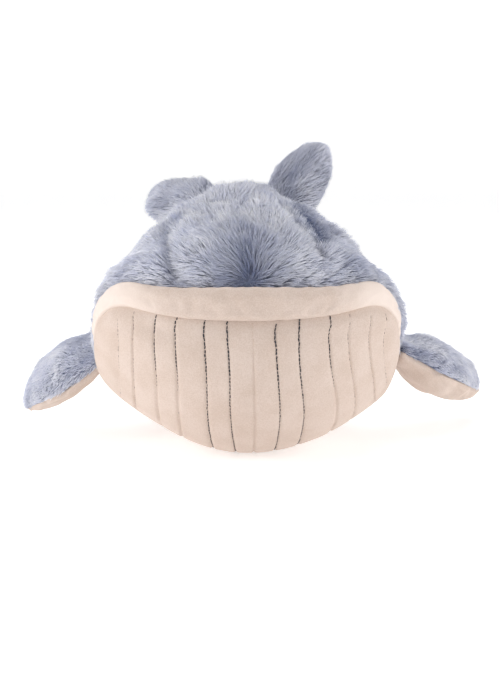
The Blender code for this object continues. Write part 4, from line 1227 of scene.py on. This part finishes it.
@dataclass
class Throat:
    """The pleated velour throat and belly, with its rows of stitches."""

    form: WhaleForm
    velour: bpy.types.Material
    dark: bpy.types.Material
    faint: bpy.types.Material
    pale: bpy.types.Material
    depth: float = 0.0022
    swell_room: float = 0.0010
    lip_half_height: float = 0.0145
    lip_shade_depth: float = 0.0042
    lip_shade_height: float = 0.024
    thickness: float = 0.0022
    end_y: float = 0.132
    pleat_end_y: float = -0.036
    pleat_fade: float = 0.022
    period: float = 0.0036
    lines: tuple = (
        ("pleat_thread_left_6", -0.1130, -0.1140, -0.1125, Show.FAINT),
        ("pleat_thread_left_5", -0.1000, -0.1010, -0.1000, Show.FAINT),
        ("pleat_thread_left_4", -0.0832, -0.0800, -0.0720, Show.BROKEN),
        ("pleat_thread_left_3", -0.0648, -0.0615, -0.0560, Show.BROKEN),
        ("pleat_thread_left_2", -0.0388, -0.0360, -0.0290, Show.PLAIN),
        ("pleat_thread_left_1", -0.0188, -0.0160, -0.0095, Show.PLAIN),
        ("throat_seam_thread", 0.0032, 0.0045, 0.0045, Show.FAINT),
        ("pleat_thread_right_1", 0.0220, 0.0250, 0.0200, Show.PLAIN),
        ("pleat_thread_right_2", 0.0425, 0.0441, 0.0375, Show.PLAIN),
        ("pleat_thread_right_3", 0.0686, 0.0720, 0.0605, Show.BROKEN),
        ("pleat_thread_right_4", 0.0855, 0.0895, 0.0765, Show.FAINT),
        ("pleat_thread_right_5", 0.1045, 0.1085, 0.1040, Show.FAINT),
        ("pleat_thread_right_6", 0.1170, 0.1225, 0.1200, Show.FAINT))
    sag: float = 0.0090
    near_shares: tuple = (0.0, 0.065, 0.17, 0.33, 0.5, 0.67, 0.83, 0.935)
    side_shares: tuple = (0.0, 0.12, 0.26, 0.42, 0.58, 0.72, 0.84, 0.93, 0.975, 1.0)

    def columns(self) -> tuple[Array, Array]:
        """Where the columns stand at half height, and which of them are rows of stitches."""
        middles = np.array([line[2] for line in self.lines])
        gaps = [start + (end - start) * np.array(self.near_shares) for start, end in zip(middles, middles[1:])]
        wide = self.form.half_width
        left = -wide + (middles[0] + wide) * (1.0 - np.array(self.side_shares[1:])[::-1])
        right = middles[-1] + (wide - middles[-1]) * np.array(self.side_shares)
        xs = np.concatenate([left, *gaps, right])
        return xs, np.searchsorted(xs, middles - 1e-6)

    def grid(self) -> tuple[Array, Array, Array]:
        """The throat's points before it swells.

        A column runs from the seam under the lip, back under the belly, to the tail. Its x wanders with the
        row of stitches nearest to it, as a curve through three offsets: under the lip, half way and at the
        belly. Each row of stitches is sunk by the pleat's depth, and the filling sags a little to the right.

        Returns:
            The points, which columns are stitched, and how much each point is held by its stitches.
        """
        xs, stitched = self.columns()
        form = self.form
        share = np.clip(np.abs(xs) / form.half_width, 0.02, 1.0)
        power = form.front_bluntness
        start = form.widest_y - form.front_length * (1.0 - share**power) ** (1.0 / power)
        ys = np.linspace(form.widest_y, self.end_y, 600)
        end = np.interp(-np.abs(xs), -form.body_width(ys), ys)
        rows = np.linspace(0.0, 1.0, 86)[:, None] ** 1.7
        y = start + (end - start) * rows
        points = form.throat_point(np.broadcast_to(xs, y.shape), y)
        fall = np.clip(1.0 - points[..., 2] / 0.128, 0.0, 1.0)
        front = 1.0 - settle((y - self.pleat_end_y - 0.01) / 0.05)
        knots = np.concatenate([[-form.half_width], [line[2] for line in self.lines], [form.half_width]])
        first = np.array([0.0, *[line[1] - line[2] for line in self.lines], 0.0])
        last = np.array([0.0, *[line[3] - line[2] for line in self.lines], 0.0])
        upper, lower = np.interp(xs, knots, first), np.interp(xs, knots, last)
        aside = np.where(fall < 0.5, upper * (1.0 - 2.0 * fall) ** 2, lower * (2.0 * fall - 1.0) ** 2)
        room = settle((form.body_width(y) - np.abs(xs)) / 0.012)
        points = form.throat_point(xs + aside * front * room, y)
        sag = settle((0.105 - points[..., 2]) / 0.075) * settle((xs + 0.02) / 0.10) * front
        points[..., 0] += self.sag * sag * settle((form.body_width(y) - np.abs(xs)) / 0.03)
        ways = normals_of(points)
        held = 1.0 - settle((y - self.pleat_end_y + self.pleat_fade) / self.pleat_fade)
        sewn = np.zeros_like(y)
        sewn[:, stitched] = held[:, stitched]
        pucker = 0.0005 * noise(points * np.array([0.4, 1.0, 1.0]), 0.0050, 71)
        depth = self.swell_room + sewn * (self.depth + pucker) - 0.0004 * noise(points, 0.018, 72)
        pleat = np.exp(-(((xs - 0.006) / 0.016) ** 2) - ((points[..., 2] - 0.045) / 0.016) ** 2)
        depth = depth + 0.0015 * pleat * noise(points * np.array([0.30, 1.0, 1.0]), 0.0060, 73)
        below = (form.seam(start) - points[..., 2] - self.lip_half_height) / self.lip_shade_height
        inner = settle((0.125 - np.abs(xs)) / 0.035)
        depth = depth + self.lip_shade_depth * inner * (1.0 - settle(below)) * (1.0 - settle((y + 0.05) / 0.03))
        edge = settle((form.body_width(y) - np.abs(xs)) / 0.010) * settle(rows / 0.02)
        return points - ways * (depth * edge)[..., None], stitched, sewn

    def build(self) -> None:
        """Build the cloth, swell it between its stitches, and sew the rows of stitches on it."""
        points, stitched, sewn = self.grid()
        rows, columns = points.shape[:2]
        mesh = bpy.data.meshes.new("throat_velour")
        mesh.from_pydata(points.reshape(-1, 3).tolist(), [], sheet_faces(rows, columns)[:, ::-1].tolist())
        cloth = piece("throat_velour", mesh, self.velour)
        pinned = sewn > 0.5
        pinned[[0, 1, -1]] = True
        pinned[:, [0, 1, -2, -1]] = True
        self.face_out(cloth)
        puff(cloth, pinned.ravel(), 4.0, 0.0030, 0.025)
        sheet = places_of(cloth).reshape(rows, columns, 3)
        sheet[..., 2] = np.maximum(sheet[..., 2], 0.0004)
        finish_cloth(cloth, self.thickness, floor=0.0004)
        fix(cloth, "body", "cream_velour", "throat_cover", fill=0.8)
        sheet = rounded(sheet)
        ways = normals_of(sheet)
        for (name, *_, show), column in zip(self.lines, stitched):
            self.sew(name, sheet[:, column], ways[:, column], show)

    def face_out(self, cloth: bpy.types.Object) -> None:
        """Turn the open cloth's faces away from the whale's middle."""
        found = cloth.data.polygons[len(cloth.data.polygons) // 2]
        if (found.center - Vector((0.0, 0.0, 0.10))).dot(found.normal) < 0.0:
            cloth.data.flip_normals()

    def sew(self, name: str, path: Array, ways: Array, show: Show) -> None:
        """Sew one row of stitches.

        Each stitch is a short four-sided strand of four rings, thickest in its middle, whose ends dive into
        the cloth. A faint row lies deeper in the pile.

        Args:
            name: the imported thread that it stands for.
            path: the points of the stitched column.
            ways: the ways out of the cloth there.
            show: how plainly it shows.
        """
        seam = self.form.seam(np.minimum(path[:1, 1], self.form.widest_y))
        used = (path[:, 2] < seam - 0.0095) & (path[:, 1] < self.pleat_end_y - 0.012) & (path[:, 2] > 0.0022)
        path, ways = path[used], ways[used]
        reach = np.concatenate([[0.0], np.cumsum(np.linalg.norm(np.diff(path, axis=0), axis=1))])
        rng = np.random.default_rng(abs(hash_of(name)))
        count = int(reach[-1] / self.period)
        middle = (np.arange(count) + 0.5) * self.period + rng.normal(0.0, 0.00018, count)
        if show is Show.BROKEN:
            middle = middle[noise(np.stack([middle * 40.0, middle * 0.0, middle * 0.0], -1), 0.5, 5) > -0.35]
        count = len(middle)
        radius = {Show.PLAIN: 0.00060, Show.BROKEN: 0.00052, Show.FAINT: 0.00036}[show]
        proud = {Show.PLAIN: 0.00060, Show.BROKEN: 0.00045, Show.FAINT: 0.00012}[show]
        least = {Show.PLAIN: 0.82, Show.BROKEN: 0.42, Show.FAINT: 0.85}[show]
        thinning = settle((middle / max(reach[-1], 1e-6) - 0.22) / 0.30)
        radius = radius * (blend(1.0, least, thinning) * rng.uniform(0.75, 1.2, count))[:, None, None]
        proud = (proud * blend(1.0, 2.0 * least - 1.0, thinning) + rng.normal(0.0, 0.00008, count))[:, None]
        steps = np.array([-1.0, -0.55, 0.55, 1.0])
        sizes = np.array([0.35, 1.0, 1.0, 0.35])
        at = middle[:, None] + steps * self.period * rng.uniform(0.46, 0.56, (count, 1))
        centre = np.stack([np.interp(at, reach, path[:, axis]) for axis in range(3)], -1)
        centre[..., 0] += rng.normal(0.0, 0.00014, (count, 1)) + rng.normal(0.0, 0.0002, (count, 4))
        out = unit(np.stack([np.interp(at, reach, ways[:, axis]) for axis in range(3)], -1))
        arch = proud - 0.0007 * steps**4
        centre = centre + out * arch[..., None]
        ahead = unit(np.gradient(centre, axis=1))
        aside = unit(np.cross(ahead, out))
        rise = np.cross(aside, ahead)
        rings = [aside, rise, -aside, -rise]
        points = np.stack([centre + ring * radius * sizes[:, None] for ring in rings], axis=2)
        pale = name == "throat_seam_thread"
        finish = self.pale if pale else self.faint if show is Show.FAINT else self.dark
        stitches = stitches_of(f"{name}_stitches", points, centre[:, [0, -1]], finish)
        fix(stitches, "body", "cream_thread" if pale else "dark_thread", name)


def hash_of(name: str) -> int:
    """A steady number for a name: its letters' codes in turn, each times its place."""
    return sum((place + 1) * ord(letter) for place, letter in enumerate(name))


@dataclass
class Lip:
    """The rolled lip along the mouth."""

    form: WhaleForm
    velour: bpy.types.Material
    half_height: float = 0.0150
    side_half_height: float = 0.0100
    depth: float = 0.0140
    side_depth: float = 0.0062
    end_depth: float = 0.0015
    end_half_height: float = 0.0045
    end_angle: float = 84.0
    raised: float = 0.0036
    lowered: float = 0.0042
    tuck: float = 0.0009
    side_tuck: float = 0.0021
    stations: int = 150

    def build(self) -> None:
        """Build the roll.

        Its front is a half oval whose depth is its cosine to a power below 1, and its back lies on the body.
        Its height and depth shrink to the mouth's corners, where small puckers cross it.
        """
        end = math.radians(self.end_angle)
        angle = np.linspace(-end, end, self.stations)[:, None]
        share = np.abs(angle) / end
        closing = np.sqrt(1.0 - np.clip((share - 0.72) / 0.28, 0.0, 1.0) ** 2)
        tall = blend(self.half_height, self.side_half_height, settle(share / 0.75))
        tall = blend(self.end_half_height, tall, closing)
        deep = blend(self.end_depth, blend(self.depth, self.side_depth, settle(share / 0.85)), closing)
        turns = np.linspace(-math.pi / 2.0, math.pi / 2.0, 19)[None, :]
        back = np.arcsin(np.linspace(1.0, -1.0, 9)[1:-1])[None, :]
        front = self.face(angle, turns, tall, deep)
        behind = self.face(angle, back, tall, deep * 0.0)
        wave = 0.0009 * noise(front, 0.030, 81) + 0.0008 * noise(front, 0.009, 82)
        corner = settle((share - 0.60) / 0.3)
        wave = wave + 0.0009 * corner * noise(front * np.array([1.0, 1.0, 0.3]), 0.0045, 83)
        ways = normals_of(front)
        front = front + ways * (wave * np.cos(turns))[..., None]
        rings = np.concatenate([front, behind], axis=1)
        rows, columns = rings.shape[:2]
        wrapped = np.concatenate([rings, rings[:, :1]], axis=1)
        cap = np.arange(columns + 1)
        middle = rows * (columns + 1)
        first = np.stack([np.full(columns, middle), cap[1:], cap[:-1]], -1)
        last = np.stack([np.full(columns, middle + 1), cap[:-1] + middle - columns - 1,
                         cap[1:] + middle - columns - 1], -1)
        ends = np.stack([rings[0].mean(axis=0), rings[-1].mean(axis=0)])
        faces = sheet_faces(rows, columns + 1).tolist() + first.tolist() + last.tolist()
        vertices = np.concatenate([wrapped.reshape(-1, 3), ends])
        roll = dress("lip_velour", vertices, faces, self.velour, merge=2e-6)
        spots = places_of(roll)
        # painted highlight: paler towards the lip's ends, which face the side lights
        layer = roll.data.attributes.new("pale", "FLOAT", "POINT")
        layer.data.foreach_set("value", settle((np.abs(spots[:, 0]) / 0.135 - 0.45) / 0.45).astype(np.float32))
        seated = np.concatenate([behind.reshape(-1, 3), front[:, 0], front[:, -1], front[0], front[-1]])
        puff(roll, found_in(spots, seated, 6), 2.5, 0.0012, 0.03)
        finish_cloth(roll, 0.0)
        fix(roll, "body", "cream_velour", "lip_cover", "lip_stuffing", fill=0.9)

    def face(self, angle: Array, turns: Array, tall: Array, deep: Array) -> Array:
        """Points of the roll at plan angles along the mouth and angles round it."""
        form = self.form
        path_y = form.widest_y - form.front_length * form.plan_shares(angle)[1]
        share = np.abs(angle) / math.radians(self.end_angle)
        z = form.seam(path_y) + tall * np.sin(turns) + self.raised * np.cos(angle).clip(0.0)
        z = z - self.lowered * np.exp(-(((share - 0.74) / 0.15) ** 2))
        wide = np.broadcast_to(np.abs(angle), z.shape)
        tuck = blend(self.tuck, self.side_tuck, settle(share / 0.85))
        out = (deep + self.tuck) * np.cos(turns).clip(0.0) ** 0.80 - tuck
        points = form.level_point(wide, z) + form.outward(wide) * out[..., None]
        points[..., 0] *= np.where(angle < 0.0, -1.0, 1.0)
        return points


@dataclass
class ClosingSeam:
    """The hand-sewn seam low on the left side, half hidden by the pile."""

    form: WhaleForm
    pale: bpy.types.Material
    start_y: float = 0.057
    end_y: float = 0.111
    period: float = 0.0060

    def build(self) -> None:
        """Build slanted stitches across the seam: short bars with tapered ends."""
        y = np.arange(self.start_y, self.end_y, self.period)
        across = np.array([-1.0, -0.5, 0.5, 1.0])
        seam = self.form.draw_in(np.stack([-self.form.body_width(y), y, self.form.seam(y)], -1))
        bars = seam[:, None] + np.array([0.0, 0.0012, 0.0022]) * across[None, :, None]
        bars[..., 0] -= 0.0012 - 0.0008 * across[None, :] ** 4
        turns = np.arange(6) * math.pi / 3.0
        ring = np.stack([np.cos(turns), np.sin(turns), 0.0 * turns], -1) * 0.00055
        sizes = np.array([0.4, 1.0, 1.0, 0.4])[None, :, None, None]
        points = bars[:, :, None] + ring[None, None] * sizes
        stitches = stitches_of("closing_seam_stitches", points, bars[:, [0, -1]], self.pale)
        fix(stitches, "body", "cream_thread", "closing_seam_thread")


@dataclass
class Eyes:
    """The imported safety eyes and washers, with better materials."""

    gloss: bpy.types.Material
    plastic: bpy.types.Material

    def build(self) -> None:
        """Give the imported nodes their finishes."""
        for side in Side:
            label = side.name.lower()
            for node, material in ((f"{label}_eye", self.gloss), (f"{label}_eye_washer", self.plastic)):
                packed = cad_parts[node]
                packed.material_slots[0].material = material


@dataclass
class Studio:
    """Pale floor, soft lights and the camera of the photograph."""

    aim: Colour = (0.0, -0.040, 0.103)
    distance: float = 1.80
    yaw: float = 1.0
    elevation: float = 10.5
    lens: float = 102.86
    floor_radius: float = 3.0
    sweep: float = 1.2
    wall_height: float = 1.6
    surround: float = 0.19
    shift: tuple[float, float] = (0.0050, -0.0207)

    def build(self) -> None:
        """Build all of it."""
        self.floor()
        self.lights()
        self.camera()

    def floor(self) -> None:
        """A round floor that sweeps up on every side: a profile of radius and height turned once about z."""
        turns = np.linspace(0.0, math.pi / 2.0, 24)
        out, up = self.floor_radius + self.sweep * np.sin(turns), self.sweep - self.sweep * np.cos(turns)
        radius = np.concatenate([[0.0], out, out[-1:]])[:, None]
        height = np.concatenate([[0.0], up, [self.wall_height]])[:, None]
        around = np.linspace(0.0, 2.0 * math.pi, 73)[None, :]
        points = np.stack(np.broadcast_arrays(radius * np.sin(around), radius * np.cos(around), height), -1)
        faces = sheet_faces(*points.shape[:2]).tolist()
        dress("studio_floor", points, faces, FloorFinish().build(), merge=1e-5, outwards=False)

    def lights(self) -> None:
        """Two broad side lights, the left one stronger, one overhead, and a pale surround."""
        world = bpy.data.worlds.new("surround")
        world.use_nodes = True
        sky = world.node_tree.nodes["Background"].inputs
        sky["Color"].default_value = (1.0, 1.0, 1.0, 1.0)
        sky["Strength"].default_value = self.surround
        bpy.context.scene.world = world
        bpy.context.scene.view_settings.view_transform = "Standard"
        for name, place, size, power in (("left_softbox", (-1.9, -0.50, 0.8), 1.3, 20.5),
                                         ("right_softbox", (1.9, -0.40, 0.8), 1.3, 15.0),
                                         ("top_softbox", (0.0, 0.1, 1.9), 1.5, 18.5)):
            light = bpy.data.lights.new(name, "AREA")
            light.size = size
            light.energy = power
            lamp = bpy.data.objects.new(name, light)
            lamp.location = place
            way = Vector(self.aim) - Vector(place)
            lamp.rotation_euler = way.to_track_quat("-Z", "Y").to_euler()
            bpy.context.scene.collection.objects.link(lamp)

    def camera(self) -> None:
        """The camera, a little above the whale and straight in front of it."""
        made = bpy.data.cameras.new("camera")
        made.lens = self.lens
        made.shift_x, made.shift_y = self.shift
        yaw, rise = math.radians(self.yaw), math.radians(self.elevation)
        way = Vector((math.sin(yaw) * math.cos(rise), math.cos(yaw) * math.cos(rise), -math.sin(rise)))
        thing = bpy.data.objects.new("camera", made)
        thing.location = Vector(self.aim) - way * self.distance
        thing.rotation_euler = way.to_track_quat("-Z", "Y").to_euler()
        bpy.context.scene.collection.objects.link(thing)
        bpy.context.scene.camera = thing


def leaf_forms() -> dict[str, LeafForm]:
    """The flippers' and flukes' places and sizes, by the names of their bodies."""
    flipper = dict(root_thickness=0.0155, thickness=0.0265, sweep=0.038)
    fluke = dict(root_chord=0.031, chord=0.037, root_thickness=0.0085, thickness=0.0180, length=0.083,
                 sweep=0.016)
    return {
        "left_flipper": LeafForm(
            (-0.14176, 0.01002, 0.08174), (0.39340, 0.91028, -0.12897), (-0.80723, 0.27486, -0.52233),
            root_chord=0.040, chord=0.044, length=0.106, twist=32.0, root_twist=30.0, ahead=0.002, lap=0.014,
            rise=-0.004, **flipper),
        "right_flipper": LeafForm(
            (0.14176, 0.01002, 0.08174), (-0.39340, 0.91028, -0.12897), (0.86040, 0.31510, -0.40052),
            root_chord=0.036, chord=0.045, length=0.111, twist=12.0, root_twist=9.0, ahead=0.003, lap=0.008,
            rise=-0.002, **flipper),
        "left_fluke": LeafForm(
            (-0.03074, 0.26964, 0.17938), (0.40645, 0.71618, 0.56735), (-0.87375, 0.48623, 0.01219), **fluke),
        "right_fluke": LeafForm(
            (0.03489, 0.26909, 0.17894), (-0.36135, 0.73088, 0.57900), (0.73476, -0.15910, 0.65940), **fluke)}


def main() -> None:
    """Dress the whale and light it."""
    logging.basicConfig(level=logging.INFO, format="%(name)s: %(message)s")
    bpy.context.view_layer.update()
    form = WhaleForm()
    fur = Fur(FurFinish().build(), FurGroundFinish().build())
    velour = VelourFinish().build()
    dark = ThreadFinish("navy_thread", linear(17, 17, 28), linear(42, 42, 56)).build()
    faint = ThreadFinish("sunk_thread", linear(128, 112, 108), linear(176, 158, 148)).build()
    pale = ThreadFinish("cream_sewing_thread", linear(200, 178, 164), linear(216, 196, 183)).build()
    works = [Studio(), Back(form, fur), Tail(form, fur, velour), Throat(form, velour, dark, faint, pale),
             Lip(form, velour), ClosingSeam(form, pale), Eyes(EyeFinish().build(), WasherFinish().build())]
    fluke = dict(wraps=(0.40, 0.40, 0.40), root_trim=0.60, deep=0.16, edge=0.0010, border_depth=0.0020)
    sewn = {"left_flipper": dict(wraps=(0.20, -0.12, 0.10), pile_length=0.0108, depth=0.0095),
            "right_flipper": dict(wraps=(0.20, 0.08, 0.08)),
            "left_fluke": fluke, "right_fluke": fluke}
    works += [Leaf(name, leaf, fur, velour, seed=61 + 10 * place, **sewn[name])
              for place, (name, leaf) in enumerate(leaf_forms().items())]
    for work in works:
        work.build()
        log.info("%s built", type(work).__name__)


if __name__ == "__main__":
    main()
